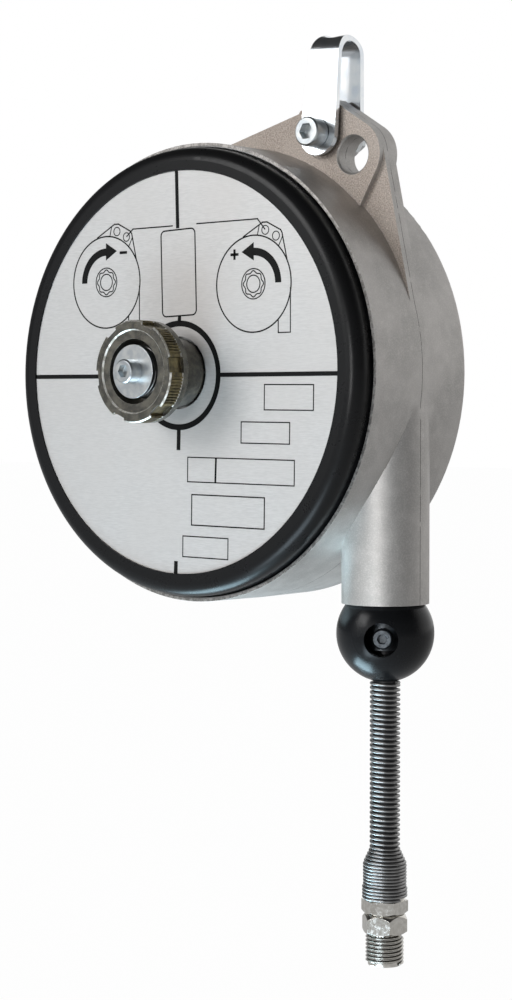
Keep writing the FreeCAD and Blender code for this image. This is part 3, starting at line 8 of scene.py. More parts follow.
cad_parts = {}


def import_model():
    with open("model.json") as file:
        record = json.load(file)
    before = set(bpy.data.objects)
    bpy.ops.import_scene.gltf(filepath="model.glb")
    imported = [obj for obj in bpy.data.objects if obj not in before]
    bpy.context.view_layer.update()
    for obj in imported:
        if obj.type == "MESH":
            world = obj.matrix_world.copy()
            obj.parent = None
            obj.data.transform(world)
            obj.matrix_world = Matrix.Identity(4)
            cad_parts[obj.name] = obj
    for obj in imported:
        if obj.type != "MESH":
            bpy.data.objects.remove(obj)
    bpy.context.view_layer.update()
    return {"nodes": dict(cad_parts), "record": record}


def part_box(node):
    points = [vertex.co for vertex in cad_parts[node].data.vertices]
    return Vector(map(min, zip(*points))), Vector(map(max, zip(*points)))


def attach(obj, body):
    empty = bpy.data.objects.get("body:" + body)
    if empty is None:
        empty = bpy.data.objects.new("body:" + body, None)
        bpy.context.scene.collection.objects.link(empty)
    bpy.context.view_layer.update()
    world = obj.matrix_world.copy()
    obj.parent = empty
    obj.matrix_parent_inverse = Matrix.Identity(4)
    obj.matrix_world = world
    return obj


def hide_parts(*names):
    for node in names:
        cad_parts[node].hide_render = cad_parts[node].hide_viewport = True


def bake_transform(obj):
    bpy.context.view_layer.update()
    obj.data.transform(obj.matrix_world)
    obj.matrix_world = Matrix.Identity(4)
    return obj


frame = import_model()
MM = 0.001


# ---------------------------------------------------------------- places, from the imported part

def corners(node):
    """Lowest and highest corner of a node's box."""
    low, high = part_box(node)
    return Vector(low), Vector(high)


def middle(node):
    """Middle of a node's box."""
    low, high = corners(node)
    return (low + high) / 2


AXIS = Vector((middle("name_plate").x, 0, middle("name_plate").z))
PLATE_FACE = corners("name_plate")[0].y
RIM = corners("housing")[0].y
KNOB_LOW, KNOB_HIGH = corners("knob")
KNOB_RADIUS = (KNOB_HIGH.x - KNOB_LOW.x) / 2
HOSE = Vector((middle("stop_ball").x, 0, 0))
SPRING_LOW, SPRING_HIGH = corners("guard_spring")
NIPPLE_LOW = corners("hose_nipple")[0]
RETURN_LOW, RETURN_HIGH = corners("knob_spring")


# ---------------------------------------------------------------- shader formulas

class Socket:
    """Output socket of a shader node, so that materials are written as formulas."""

    def __init__(self, graph, output):
        self.graph = graph
        self.output = output

    def math(self, operation, *others):
        values = dict(enumerate((self, *others)))
        return self.graph.output("ShaderNodeMath", 0, {"operation": operation}, values)

    def __add__(self, other):
        return self.math("ADD", other)

    def __radd__(self, other):
        return self.math("ADD", other)

    def __sub__(self, other):
        return self.math("SUBTRACT", other)

    def __rsub__(self, other):
        return (self * -1) + other

    def __mul__(self, other):
        return self.math("MULTIPLY", other)

    def __rmul__(self, other):
        return self.math("MULTIPLY", other)

    def __lt__(self, other):
        return self.math("LESS_THAN", other)

    def sine(self):
        return self.math("SINE")

    def absolute(self):
        return self.math("ABSOLUTE")

    def between(self, low, high):
        """0 below low, 1 above high, and a smooth rise between."""
        settings = {"interpolation_type": "SMOOTHSTEP"}
        return self.graph.output("ShaderNodeMapRange", "Result", settings,
                                 {"Value": self, "From Min": low, "From Max": high})


class Graph:
    """Shader nodes of a material or of the world."""

    def __init__(self, tree):
        self.tree = tree

    def node(self, kind, settings=None, inputs=None):
        node = self.tree.nodes.new(kind)
        for name, value in (settings or {}).items():
            setattr(node, name, value)
        for name, value in (inputs or {}).items():
            self.feed(node.inputs[name], value)
        return node

    def feed(self, socket, value):
        if isinstance(value, Socket):
            self.tree.links.new(value.output, socket)
        elif socket.type == "RGBA":
            socket.default_value = (*value, 1)
        else:
            socket.default_value = value

    def output(self, kind, name, settings=None, inputs=None):
        return Socket(self, self.node(kind, settings, inputs).outputs[name])

    def parts(self, vector):
        node = self.node("ShaderNodeSeparateXYZ", None, {"Vector": vector})
        return [Socket(self, output) for output in node.outputs]

    def mix(self, share, first, second):
        return self.output("ShaderNodeMix", "Result", {"data_type": "RGBA"},
                           {"Factor": share, "A": first, "B": second})


class Finish(Graph):
    """A material with a Principled shader. A pattern set later replaces its plain colour or roughness."""

    def __init__(self, name, colour, roughness, metallic=0.0, **fixed):
        self.material = bpy.data.materials.new(name)
        self.material.use_nodes = True
        super().__init__(self.material.node_tree)
        self.shader = self.tree.nodes["Principled BSDF"]
        self.set("Base Color", colour)
        self.set("Roughness", roughness)
        self.set("Metallic", metallic)
        for socket, value in fixed.items():
            self.set(socket.replace("_", " "), value)

    def set(self, name, value):
        self.feed(self.shader.inputs[name], value)

    def point(self, scale=(1, 1, 1)):
        """Object coordinates, stretched by a scale."""
        source = self.output("ShaderNodeTexCoord", "Object")
        return self.output("ShaderNodeMapping", "Vector", None, {"Vector": source, "Scale": scale})

    def noise(self, size, detail=2.0, roughness=0.5, vector=None):
        """Noise whose features are about size millimetres wide."""
        inputs = {"Vector": vector or self.point(), "Scale": 1 / (size * MM), "Detail": detail,
                  "Roughness": roughness}
        return self.output("ShaderNodeTexNoise", "Fac", None, inputs)

    def bump(self, height, depth, strength=1.0):
        """Relief of depth millimetres."""
        self.set("Normal", self.output("ShaderNodeBump", "Normal", None,
                                       {"Height": height, "Distance": depth * MM, "Strength": strength}))


# ---------------------------------------------------------------- finishes

SEAM_BEHIND, SEAM_WIDTH = 0.7 * MM, 0.22 * MM
THREAD_CREST, THREAD_ROOT = 6.58 * MM, 5.75 * MM
THREAD_PITCH, THREAD_TURNS = 1.337 * MM, 7


def blasted_cast():
    """Granular skin of the ear's faces, warm grey with bright specks."""
    finish = Finish("blasted_cast", (0.4, 0.36, 0.33), 0.6, metallic=0.45)
    grain = finish.noise(0.5, detail=3, roughness=0.7)
    flow = finish.noise(12)
    tone = finish.mix(grain.between(0.36, 0.66), (0.29, 0.25, 0.22), (0.60, 0.52, 0.46))
    tone = finish.mix(flow.between(0.35, 0.7) * 0.35, tone, (0.55, 0.49, 0.44))
    specks = finish.noise(0.9, roughness=0.8).between(0.66, 0.72)
    finish.set("Base Color", finish.mix(specks * 0.7, tone, (0.85, 0.80, 0.74)))
    finish.set("Roughness", 0.5 + grain * 0.2)
    finish.bump(grain, 0.12, 0.7)
    return finish.material


def smooth_cast():
    """Die-cast skin of the cup and the spout with its mid-plane parting line."""
    finish = Finish("smooth_cast", (0.3, 0.3, 0.3), 0.42, metallic=0.85)
    grain = finish.noise(0.45, detail=3, roughness=0.6)
    flow = finish.noise(16)
    blotch = finish.noise(4, detail=3)
    y = finish.parts(finish.point())[1]
    tone = finish.mix(flow.between(0.3, 0.7), (0.43, 0.415, 0.40), (0.525, 0.505, 0.487))
    pale = grain.between(0.4, 0.7) * 0.45 + blotch.between(0.45, 0.7) * 0.15
    tone = finish.mix(pale, tone, (0.69, 0.67, 0.645))
    seam_line = y + SEAM_BEHIND + (blotch - 0.5) * (0.3 * MM)
    seam = seam_line.absolute() < SEAM_WIDTH / 2
    seam = seam * finish.noise(5, detail=1).between(0.36, 0.44)
    finish.set("Base Color", finish.mix(seam, tone, (0.06, 0.055, 0.05)))
    finish.set("Roughness", 0.42 + grain * 0.14)
    finish.bump(grain - seam * 2, 0.05, 0.5)
    return finish.material


def machined_edge():
    """Bright turned rim and rubbed edges of the casting, with small nicks."""
    finish = Finish("machined_edge", (0.6, 0.59, 0.57), 0.35, metallic=0.9)
    nicks = finish.noise(1.3, detail=4, roughness=0.8)
    finish.set("Base Color", finish.mix(nicks.between(0.42, 0.6), (0.24, 0.23, 0.22), (0.48, 0.46, 0.44)))
    finish.set("Roughness", 0.34 + nicks * 0.2)
    return finish.material


def cover_plastic():
    """Black moulding with a satin skin."""
    finish = Finish("cover_plastic", (0.008, 0.008, 0.0085), 0.3, Specular_IOR_Level=0.2)
    skin = finish.noise(1.2)
    patchiness = finish.noise(9, detail=3)
    finish.set("Roughness", 0.2 + skin * 0.06 + patchiness * 0.12)
    finish.bump(skin, 0.01, 0.3)
    return finish.material


def plate_metal():
    """Silver plate with a fine brushed grain."""
    finish = Finish("plate_metal", (0.6, 0.6, 0.6), 0.4, metallic=0.35)
    brushed = finish.noise(0.28, detail=3, vector=finish.point(scale=(0.1, 1, 1)))
    cloud = finish.noise(26, detail=1)
    tone = finish.mix(brushed.between(0.25, 0.75), (0.575, 0.563, 0.552), (0.665, 0.652, 0.64))
    finish.set("Base Color", finish.mix(cloud.between(0.3, 0.7) * 0.4, tone, (0.62, 0.595, 0.575)))
    finish.set("Roughness", 0.36 + brushed * 0.16)
    finish.bump(brushed, 0.003, 0.4)
    return finish.material


def print_ink():
    """Matt black ink."""
    finish = Finish("print_ink", (0.006, 0.006, 0.006), 0.5, Specular_IOR_Level=0.12)
    finish.set("Roughness", 0.42 + finish.noise(2.5) * 0.14)
    return finish.material


def die_cast_zinc():
    """Dark passivated zinc with a yellow cast."""
    finish = Finish("die_cast_zinc", (0.12, 0.115, 0.1), 0.36, metallic=0.9)
    stain = finish.noise(3.5, detail=4, roughness=0.6)
    grain = finish.noise(0.4, detail=3)
    dark = finish.mix(stain.between(0.35, 0.65), (0.085, 0.083, 0.077), (0.165, 0.158, 0.135))
    finish.set("Base Color", finish.mix(grain.between(0.55, 0.75) * 0.45, dark, (0.27, 0.23, 0.14)))
    finish.set("Roughness", 0.26 + stain * 0.2)
    finish.bump(grain, 0.02, 0.5)
    return finish.material


def knurled_zinc():
    """The knurled band: the same zinc, more yellow between its ridges."""
    finish = Finish("knurled_zinc", (0.2, 0.17, 0.1), 0.34, metallic=0.9)
    stain = finish.noise(2.2, detail=4, roughness=0.6)
    finish.set("Base Color", finish.mix(stain.between(0.3, 0.7), (0.07, 0.062, 0.04), (0.22, 0.18, 0.09)))
    finish.set("Roughness", 0.22 + stain * 0.2)
    return finish.material


def rubbed_zinc():
    """Pale zinc on the knob's edges and face step: a painted highlight, the bright lines that light draws
    along them.
    """
    finish = Finish("rubbed_zinc", (0.62, 0.6, 0.54), 0.22, metallic=0.6)
    patchiness = finish.noise(1.6, detail=4, roughness=0.7)
    # painted highlight: pale, patchy colour for the knob's edges
    finish.set("Base Color", finish.mix(patchiness.between(0.4, 0.62), (0.38, 0.36, 0.31), (0.86, 0.84, 0.79)))
    finish.set("Roughness", 0.28 + patchiness * 0.16)
    return finish.material


def zinc_plate():
    """Bright blue-white zinc plate."""
    finish = Finish("zinc_plate", (0.74, 0.78, 0.82), 0.2, metallic=1.0)
    cloud = finish.noise(5, detail=3)
    fine = finish.noise(0.5, detail=3)
    finish.set("Base Color", finish.mix(cloud.between(0.35, 0.65), (0.70, 0.74, 0.78), (0.80, 0.82, 0.83)))
    finish.set("Roughness", 0.13 + cloud * 0.08 + fine * 0.05)
    finish.bump(fine, 0.003, 0.3)
    return finish.material


def zinc_satin():
    """Zinc plate on turned and stamped fasteners, duller than on the strap."""
    finish = Finish("zinc_satin", (0.6, 0.63, 0.66), 0.3, metallic=1.0)
    cloud = finish.noise(3, detail=3)
    fine = finish.noise(0.35, detail=3)
    finish.set("Base Color", finish.mix(cloud.between(0.35, 0.65), (0.47, 0.505, 0.53), (0.60, 0.62, 0.62)))
    finish.set("Roughness", 0.24 + cloud * 0.08 + fine * 0.08)
    finish.bump(fine, 0.006, 0.4)
    return finish.material


def dull_steel():
    """Steel of the clamp inside the ball, painted dark as painted shade for the hole in the ball."""
    finish = Finish("dull_steel", (0.2, 0.22, 0.24), 0.4, metallic=0.9)
    tone = finish.noise(1.5, detail=3)
    # painted shade: near-black steel so that the hole in the ball reads dark
    finish.set("Base Color", finish.mix(tone, (0.03, 0.035, 0.04), (0.2, 0.22, 0.24)))
    finish.set("Roughness", 0.3 + tone * 0.2)
    return finish.material


def turned_steel():
    """Steel with fine turning lines about the drum's axis."""
    finish = Finish("turned_steel", (0.5, 0.5, 0.5), 0.3, metallic=1.0)
    y = finish.parts(finish.point())[1]
    line_pitch = 0.25 * MM
    lines = (y * (2 * math.pi / line_pitch)).sine()
    finish.set("Roughness", 0.24 + finish.noise(4) * 0.12)
    finish.bump(lines, 0.003, 0.6)
    return finish.material


def ball_skin():
    """Black satin ball."""
    finish = Finish("ball_skin", (0.007, 0.0075, 0.0085), 0.3, Specular_IOR_Level=0.2)
    skin = finish.noise(0.9, detail=3)
    rub = finish.noise(6, detail=3)
    finish.set("Roughness", 0.2 + skin * 0.05 + rub.between(0.5, 0.75) * 0.1)
    finish.bump(skin, 0.006, 0.3)
    return finish.material


def spring_wire():
    """Dark drawn wire."""
    finish = Finish("spring_wire", (0.2, 0.19, 0.18), 0.3, metallic=1.0)
    tone = finish.noise(2.5, detail=3)
    finish.set("Base Color", finish.mix(tone, (0.20, 0.2, 0.2), (0.38, 0.375, 0.37)))
    finish.set("Roughness", 0.3 + tone * 0.14)
    return finish.material


def nickel_plate():
    """Nickel plate with small dull pits, a little warm."""
    finish = Finish("nickel_plate", (0.62, 0.6, 0.56), 0.2, metallic=1.0)
    pits = finish.noise(1.4, detail=4, roughness=0.6)
    finish.set("Base Color", finish.mix(pits.between(0.35, 0.7), (0.58, 0.56, 0.52), (0.72, 0.70, 0.66)))
    finish.set("Roughness", 0.13 + pits.between(0.4, 0.8) * 0.14)
    finish.bump(pits, 0.008, 0.3)
    return finish.material


def cut_thread():
    """Nickel plate on the thread, with painted shade between its ridges."""
    finish = Finish("cut_thread", (0.6, 0.58, 0.54), 0.24, metallic=1.0)
    x, y = finish.parts(finish.point())[:2]
    across = x - HOSE.x
    reach = (across * across + y * y).math("SQRT")
    pits = finish.noise(1.4, detail=4, roughness=0.6)
    bright = finish.mix(pits, (0.56, 0.54, 0.50), (0.72, 0.70, 0.66))
    # painted shade: the colour goes near black towards the thread's root, where shade falls between the
    # ridges
    ridge = reach.between(THREAD_ROOT + 0.2 * MM, THREAD_CREST - 0.08 * MM)
    finish.set("Base Color", finish.mix(ridge, (0.07, 0.068, 0.062), bright))
    finish.set("Roughness", 0.2 + pits * 0.12)
    return finish.material


def turned_brass():
    """Brass, a little uneven in tone."""
    finish = Finish("turned_brass", (0.66, 0.5, 0.24), 0.3, metallic=1.0)
    tone = finish.noise(6, detail=3)
    finish.set("Base Color", finish.mix(tone, (0.60, 0.45, 0.20), (0.74, 0.58, 0.30)))
    finish.set("Roughness", 0.22 + tone * 0.2)
    return finish.material


def hose_skin():
    """Black satin hose."""
    finish = Finish("hose_skin", (0.02, 0.02, 0.023), 0.4)
    finish.set("Roughness", 0.34 + finish.noise(2) * 0.14)
    return finish.material


def filled_nylon():
    """Black filled nylon of the drum and the guide."""
    finish = Finish("filled_nylon", (0.02, 0.02, 0.02), 0.55)
    grain = finish.noise(0.6, detail=3)
    finish.set("Roughness", 0.48 + grain * 0.14)
    finish.bump(grain, 0.02, 0.4)
    return finish.material


def seal_rubber():
    """Dull black rubber."""
    finish = Finish("seal_rubber", (0.014, 0.014, 0.014), 0.6)
    finish.set("Roughness", 0.52 + finish.noise(1) * 0.14)
    return finish.material


SMOOTH_CAST, BLASTED_CAST, MACHINED_EDGE = smooth_cast(), blasted_cast(), machined_edge()
# the knob's edge finish on this line is a painted highlight
KNURLED_ZINC, KNOB_EDGE_HIGHLIGHT, INK, CUT_THREAD = knurled_zinc(), rubbed_zinc(), print_ink(), cut_thread()
FINISHES = {
    SMOOTH_CAST: ("housing",),
    cover_plastic(): ("front_cover",),
    plate_metal(): ("name_plate",),
    die_cast_zinc(): ("knob",),
    zinc_plate(): ("suspension_strap",),
    zinc_satin(): (
        "knob_washer", "knob_screw", "strap_spacer", "strap_screw", "strap_lock_nut", "case_screws"),
    # the clamp inside the ball is painted dark as painted shade
    dull_steel(): ("stop_clamp", "stop_clamp_screw"),
    turned_steel(): ("cover_retaining_ring", "ratchet_ring", "spring_arbor"),
    ball_skin(): ("stop_ball",),
    spring_wire(): ("guard_spring", "knob_spring", "power_spring"),
    nickel_plate(): ("hose_nut", "hose_nipple"),
    turned_brass(): ("arbor_bush", "air_spindle", "drum_front_bush", "drum_rear_bush", "drum_air_fitting"),
    hose_skin(): ("hose_lead", "hose_tail", "wound_hose"),
    filled_nylon(): ("drum", "spring_case_cover", "hose_guide"),
    seal_rubber(): ("spindle_seals",),
}
FINISH_OF = {node: material for material, nodes in FINISHES.items() for node in nodes}
BODY_OF = {node: body for body, nodes in frame["record"]["behaviour"]["bodies"].items() for node in nodes}


# ---------------------------------------------------------------- modelling steps

def select_only(*pieces):
    bpy.ops.object.select_all(action="DESELECT")
    for piece in pieces:
        piece.select_set(True)
    bpy.context.view_layer.objects.active = pieces[0]


def paint(piece, *materials):
    """Give a piece these materials, one to each slot."""
    piece.data.materials.clear()
    for material in materials:
        piece.data.materials.append(material)


def settle(piece, name=None):
    """Put a new piece's place into its mesh."""
    piece.name = name or piece.name
    select_only(piece)
    bpy.ops.object.transform_apply(location=True, rotation=True, scale=True)
    return piece


def modify(piece, kind, **settings):
    select_only(piece)
    modifier = piece.modifiers.new(kind.lower(), kind)
    for name, value in settings.items():
        setattr(modifier, name, value)
    bpy.ops.object.modifier_apply(modifier=modifier.name)


def edit(piece, *steps):
    """Run edit-mode steps on all of a piece."""
    select_only(piece)
    bpy.ops.object.mode_set(mode="EDIT")
    bpy.ops.mesh.select_all(action="SELECT")
    for step in steps:
        step()
    bpy.ops.object.mode_set(mode="OBJECT")
    return piece


def join(name, pieces):
    select_only(*pieces)
    bpy.ops.object.join()
    return settle(bpy.context.object, name)


def smooth(piece, angle=30):
    select_only(piece)
    bpy.ops.object.shade_smooth_by_angle(angle=math.radians(angle))


def finish_piece(piece, node, replaces=True):
    """Ride on the node's body and stand for it."""
    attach(piece, BODY_OF[node])
    if replaces:
        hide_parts(node)
    return piece


def copied(piece, matrix):
    """Copy of a piece, moved, with its own mesh."""
    copy = piece.copy()
    copy.data = piece.data.copy()
    copy.data.transform(matrix)
    bpy.context.collection.objects.link(copy)
    return copy


def merged_copy(node, name):
    """Copy of a CAD node with its triangles merged into whole faces."""
    piece = bpy.data.objects.new(name, frame["nodes"][node].data.copy())
    bpy.context.collection.objects.link(piece)
    paint(piece, FINISH_OF[node])
    return edit(piece,
                lambda: bpy.ops.mesh.remove_doubles(threshold=0.002 * MM),
                lambda: bpy.ops.mesh.dissolve_limited(angle_limit=math.radians(0.3)))


def ease(piece, width, angle=32, edge_slot=-1):
    """Round a piece's edges by width millimetres, in the finish of its edge slot."""
    modify(piece, "BEVEL", width=width * MM, segments=2, material=edge_slot, limit_method="ANGLE",
           angle_limit=math.radians(angle), use_clamp_overlap=True, miter_outer="MITER_ARC")
    smooth(piece, 50)
    modify(piece, "WEIGHTED_NORMAL", weight=90, keep_sharp=True)


def eased(node, name, width, angle=32):
    """CAD node with its edges rounded."""
    piece = merged_copy(node, name)
    ease(piece, width, angle)
    return finish_piece(piece, node)


# ---------------------------------------------------------------- castings and fasteners

EAR_HALF = 8 * MM
BAND_START, BAND_END, BAND_SINK = 0.75 * MM, 6.3 * MM, 0.45 * MM
STEP_RADIUS, STEP_SLOPE = 14.4 * MM, 0.45 * MM
NOTCHES, NOTCH_CLOCK, NOTCH_HALF, NOTCH_DEPTH = 6, 23, 11, 3 * MM
RIDGE_PITCH, RIDGE_BASE, RIDGE_HEIGHT, RIDGE_TAPER = 1.1 * MM, 0.9 * MM, 0.6 * MM, 0.55
LIP_RADIUS, LIP_LENGTH, LIP_WALL, LIP_BEFORE_PLATE = 12 * MM, 0.85 * MM, 0.5 * MM, 0.65 * MM


def housing_casting():
    """Cup, ear and spout: smooth sides, blasted ear faces, rubbed edges and a turned rim."""
    piece = merged_copy("housing", "housing_casting")
    paint(piece, SMOOTH_CAST, MACHINED_EDGE, BLASTED_CAST)
    edges, ear = 1, 2
    for face in piece.data.polygons:
        if abs(face.normal.y) > 0.9 and abs(face.center.y) < EAR_HALF:
            face.material_index = ear
    ease(piece, 0.35, edge_slot=edges)
    for face in piece.data.polygons:
        if face.center.y < RIM + 0.05 * MM:
            face.material_index = edges
    finish_piece(piece, "housing")


def from_knob(point):
    """How far a point is behind the knob's face, and out from its axis."""
    return point.y - KNOB_LOW.y, math.hypot(point.x - AXIS.x, point.z - AXIS.z)


def sink(vertex, depth):
    """Move a vertex towards the knob's axis."""
    arm = Vector((vertex.co.x - AXIS.x, 0, vertex.co.z - AXIS.z))
    vertex.co -= arm.normalized() * depth


def knob_slot(face):
    """Material slot of a face of the knob, by its place: 0 cast, 1 painted highlight, 2 knurled."""
    behind, reach = from_knob(face.center)
    face_edge = behind < 0.55 * MM and reach > KNOB_RADIUS - 0.75 * MM
    band_edge = BAND_END - 0.1 * MM < behind < BAND_END + 0.45 * MM and reach > KNOB_RADIUS - 0.4 * MM
    step = 0.03 * MM < behind < 0.6 * MM and STEP_RADIUS - 0.9 * MM < reach < STEP_RADIUS + 0.4 * MM
    # the face's edge, the band's edge and the step in the face take the painted highlight
    if face_edge or band_edge or step:
        return 1
    beside = abs(face.normal.y) < 0.4 and reach > KNOB_RADIUS - NOTCH_DEPTH
    if beside and BAND_START - 0.15 * MM < behind < BAND_END - 0.1 * MM:
        return 2
    return face.material_index


def knob_casting():
    """Knob with a sunk band for its knurl, a sloped step in its face and a painted highlight on its edges.
    """
    piece = merged_copy("knob", "knob_casting")
    paint(piece, FINISH_OF["knob"], KNOB_EDGE_HIGHLIGHT, KNURLED_ZINC)
    start = KNOB_LOW.y + BAND_START
    edit(piece, lambda: bpy.ops.mesh.bisect(plane_co=(0, start, 0), plane_no=(0, 1, 0)))
    for vertex in piece.data.vertices:
        behind, reach = from_knob(vertex.co)
        if BAND_START - 0.01 * MM < behind < BAND_END and reach > KNOB_RADIUS - 0.15 * MM:
            sink(vertex, BAND_SINK)
        elif 0.2 * MM < behind < BAND_START and abs(reach - STEP_RADIUS) < STEP_SLOPE:
            sink(vertex, STEP_SLOPE)
    # the rounded edges take slot 1, the painted highlight
    ease(piece, 0.25, edge_slot=1)
    for face in piece.data.polygons:
        face.material_index = knob_slot(face)
    finish_piece(piece, "knob")


def neck_lip():
    """Thin rounded lip at the end of the knob's neck, just clear of the plate."""
    bpy.ops.object.select_all(action="DESELECT")
    bpy.ops.mesh.primitive_cylinder_add(vertices=96, radius=LIP_RADIUS, depth=LIP_LENGTH,
                                        end_fill_type="NOTHING",
                                        location=(AXIS.x, PLATE_FACE - LIP_BEFORE_PLATE, AXIS.z),
                                        rotation=(math.radians(90), 0, 0))
    piece = settle(bpy.context.object, "neck_lip")
    modify(piece, "SOLIDIFY", thickness=LIP_WALL, offset=-1)
    ease(piece, 0.12)
    paint(piece, FINISH_OF["knob"])
    finish_piece(piece, "knob", replaces=False)


def knurl_ridges():
    """Straight ridges round the knob's band, left out where its notches are."""
    front, rear = KNOB_LOW.y + BAND_START - 0.2 * MM, KNOB_LOW.y + BAND_END - 0.05 * MM
    middle_reach = KNOB_RADIUS - RIDGE_HEIGHT / 2
    bpy.ops.object.select_all(action="DESELECT")
    bpy.ops.mesh.primitive_cube_add(size=1, location=(middle_reach, (front + rear) / 2, 0),
                                    scale=(RIDGE_HEIGHT, rear - front, RIDGE_BASE))
    ridge = settle(bpy.context.object)
    for vertex in ridge.data.vertices:
        if vertex.co.x > middle_reach:
            vertex.co.z *= RIDGE_TAPER
    count = round(2 * math.pi * KNOB_RADIUS / RIDGE_PITCH)
    spacing = 360 / NOTCHES
    ridges = []
    for index in range(count):
        clock = 360 * index / count
        from_notch = (clock - NOTCH_CLOCK) % spacing
        if min(from_notch, spacing - from_notch) > NOTCH_HALF:
            turn = Matrix.Translation(AXIS) @ Matrix.Rotation(math.radians(clock - 90), 4, "Y")
            ridges.append(copied(ridge, turn))
    bpy.data.objects.remove(ridge)
    piece = join("knurl_ridges", ridges)
    paint(piece, KNURLED_ZINC)
    finish_piece(piece, "knob", replaces=False)


def dress_cad_pieces():
    """Finish every CAD node, then round the edges of those in view."""
    for node, item in frame["nodes"].items():
        paint(item, FINISH_OF[node])
    eased("suspension_strap", "strap_bent", 0.3, angle=28)
    eased("strap_screw", "strap_cap_screw", 0.2)
    eased("strap_lock_nut", "strap_nut", 0.15)
    eased("knob_screw", "knob_cap_screw", 0.2)
    eased("knob_washer", "washer_blanked", 0.15)
    eased("stop_clamp_screw", "clamp_cap_screw", 0.2)
    eased("hose_nut", "hose_nut_milled", 0.12)
    eased("air_spindle", "spindle_turned", 0.15)


# ---------------------------------------------------------------- printed plate, drawn flat in millimetres

def disc(centre, radius, steps=72, turn=0.0):
    """Filled circle, or a regular polygon where its steps are few."""
    bpy.ops.object.select_all(action="DESELECT")
    bpy.ops.mesh.primitive_circle_add(vertices=steps, radius=radius, fill_type="NGON",
                                      location=(*centre, 0), rotation=(0, 0, math.radians(turn)))
    return settle(bpy.context.object)


def hollow(piece, width):
    """Keep only a band of a flat shape's edge."""
    return edit(piece, lambda: bpy.ops.mesh.inset(thickness=width, use_even_offset=True),
                lambda: bpy.ops.mesh.delete(type="FACE"))


def circle(centre, radius, width, steps=72):
    """Ring whose line lies half outside its radius and half inside."""
    return hollow(disc(centre, radius + width / 2, steps), width)


def scallop(centre, radius, width, lobes):
    """Ring that waves in and out, as a knob's outline does."""
    wave, steps_a_lobe = 0.08, 8
    piece = disc(centre, radius, steps_a_lobe * lobes)
    for vertex in piece.data.vertices:
        arm = vertex.co - Vector((*centre, 0))
        vertex.co += arm * (wave * math.cos(lobes * math.atan2(arm.y, arm.x)))
    return hollow(piece, width)


def quarter(centre, radius, width, side):
    """Quarter of a band, above its centre and to the right (+1) or left (-1)."""
    def cut(normal):
        bpy.ops.mesh.select_all(action="SELECT")
        bpy.ops.mesh.bisect(plane_co=(*centre, 0), plane_no=normal, clear_inner=True)

    return edit(circle(centre, radius, width), lambda: cut((side, 0, 0)), lambda: cut((0, 1, 0)))


def bar(start, end, width):
    """Straight line with square ends."""
    start, end = Vector((*start, 0)), Vector((*end, 0))
    along = end - start
    bpy.ops.object.select_all(action="DESELECT")
    bpy.ops.mesh.primitive_plane_add(size=1, location=(start + end) / 2,
                                     rotation=(0, 0, math.atan2(along.y, along.x)))
    piece = bpy.context.object
    piece.scale = (along.length + width, width, 1)
    return settle(piece)


def lines(points, width):
    """Straight lines from point to point."""
    return [bar(start, end, width) for start, end in zip(points, points[1:])]


def box(left, right, top, bottom, width, radius=0.0, tilt=-0.8):
    """Outline of a rectangle turned by tilt degrees, its corners rounded by radius."""
    bpy.ops.object.select_all(action="DESELECT")
    bpy.ops.mesh.primitive_plane_add(size=1, location=((left + right) / 2, (top + bottom) / 2, 0),
                                     rotation=(0, 0, math.radians(tilt)))
    piece = bpy.context.object
    piece.scale = (right - left, top - bottom, 1)
    settle(piece)
    if radius:
        edit(piece, lambda: bpy.ops.mesh.bevel(offset=radius, segments=6, affect="VERTICES"))
    return hollow(piece, width)


def balancer_sign(centre, side, leader):
    """Turning sign: outline of a balancer with an arrow round its knob, and a minus or plus."""
    def at(x, z):
        return centre[0] + x, centre[1] + z

    sign = at(-side * 8.3, 10.2)
    drawn = [circle(centre, 16.3, 0.5), circle(centre, 5.1, 0.4, 48), scallop(centre, 4.3, 0.4, 8),
             circle(centre, 2.9, 0.4, 40)]
    drawn += [circle(at(5.2, 17.8), 1.5, 0.35, 28), circle(at(9.8, 15.6), 1.5, 0.35, 28)]
    drawn += [quarter(centre, 10.8, 2.6, side), disc(at(-side * 1.6, 10.9), 3.55, 3, 90 * side)]
    drawn.append(bar((sign[0] - 1.3, sign[1]), (sign[0] + 1.3, sign[1]), 0.95))
    if side > 0:
        drawn.append(bar((sign[0], sign[1] - 1.3), (sign[0], sign[1] + 1.3), 0.95))
    ear = (-4.4, 16), (4, 20.4), (5.9, 20.4), (11.8, 17.5), (12.4, 16.5), (14.6, 7.3)
    drawn += lines([at(*point) for point in ear], 0.45)
    drawn += lines([at(2.6, 19.6), at(1.8, 16.4)], 0.35) + lines([at(12.5, 15), at(11, 12.3)], 0.35)
    drawn += lines([at(16, -2), at(16, -16.7), at(10.8, -16.7), at(10.8, -12.6)], 0.4)
    drawn += lines([at(*point) for point in leader], 0.45)
    return drawn


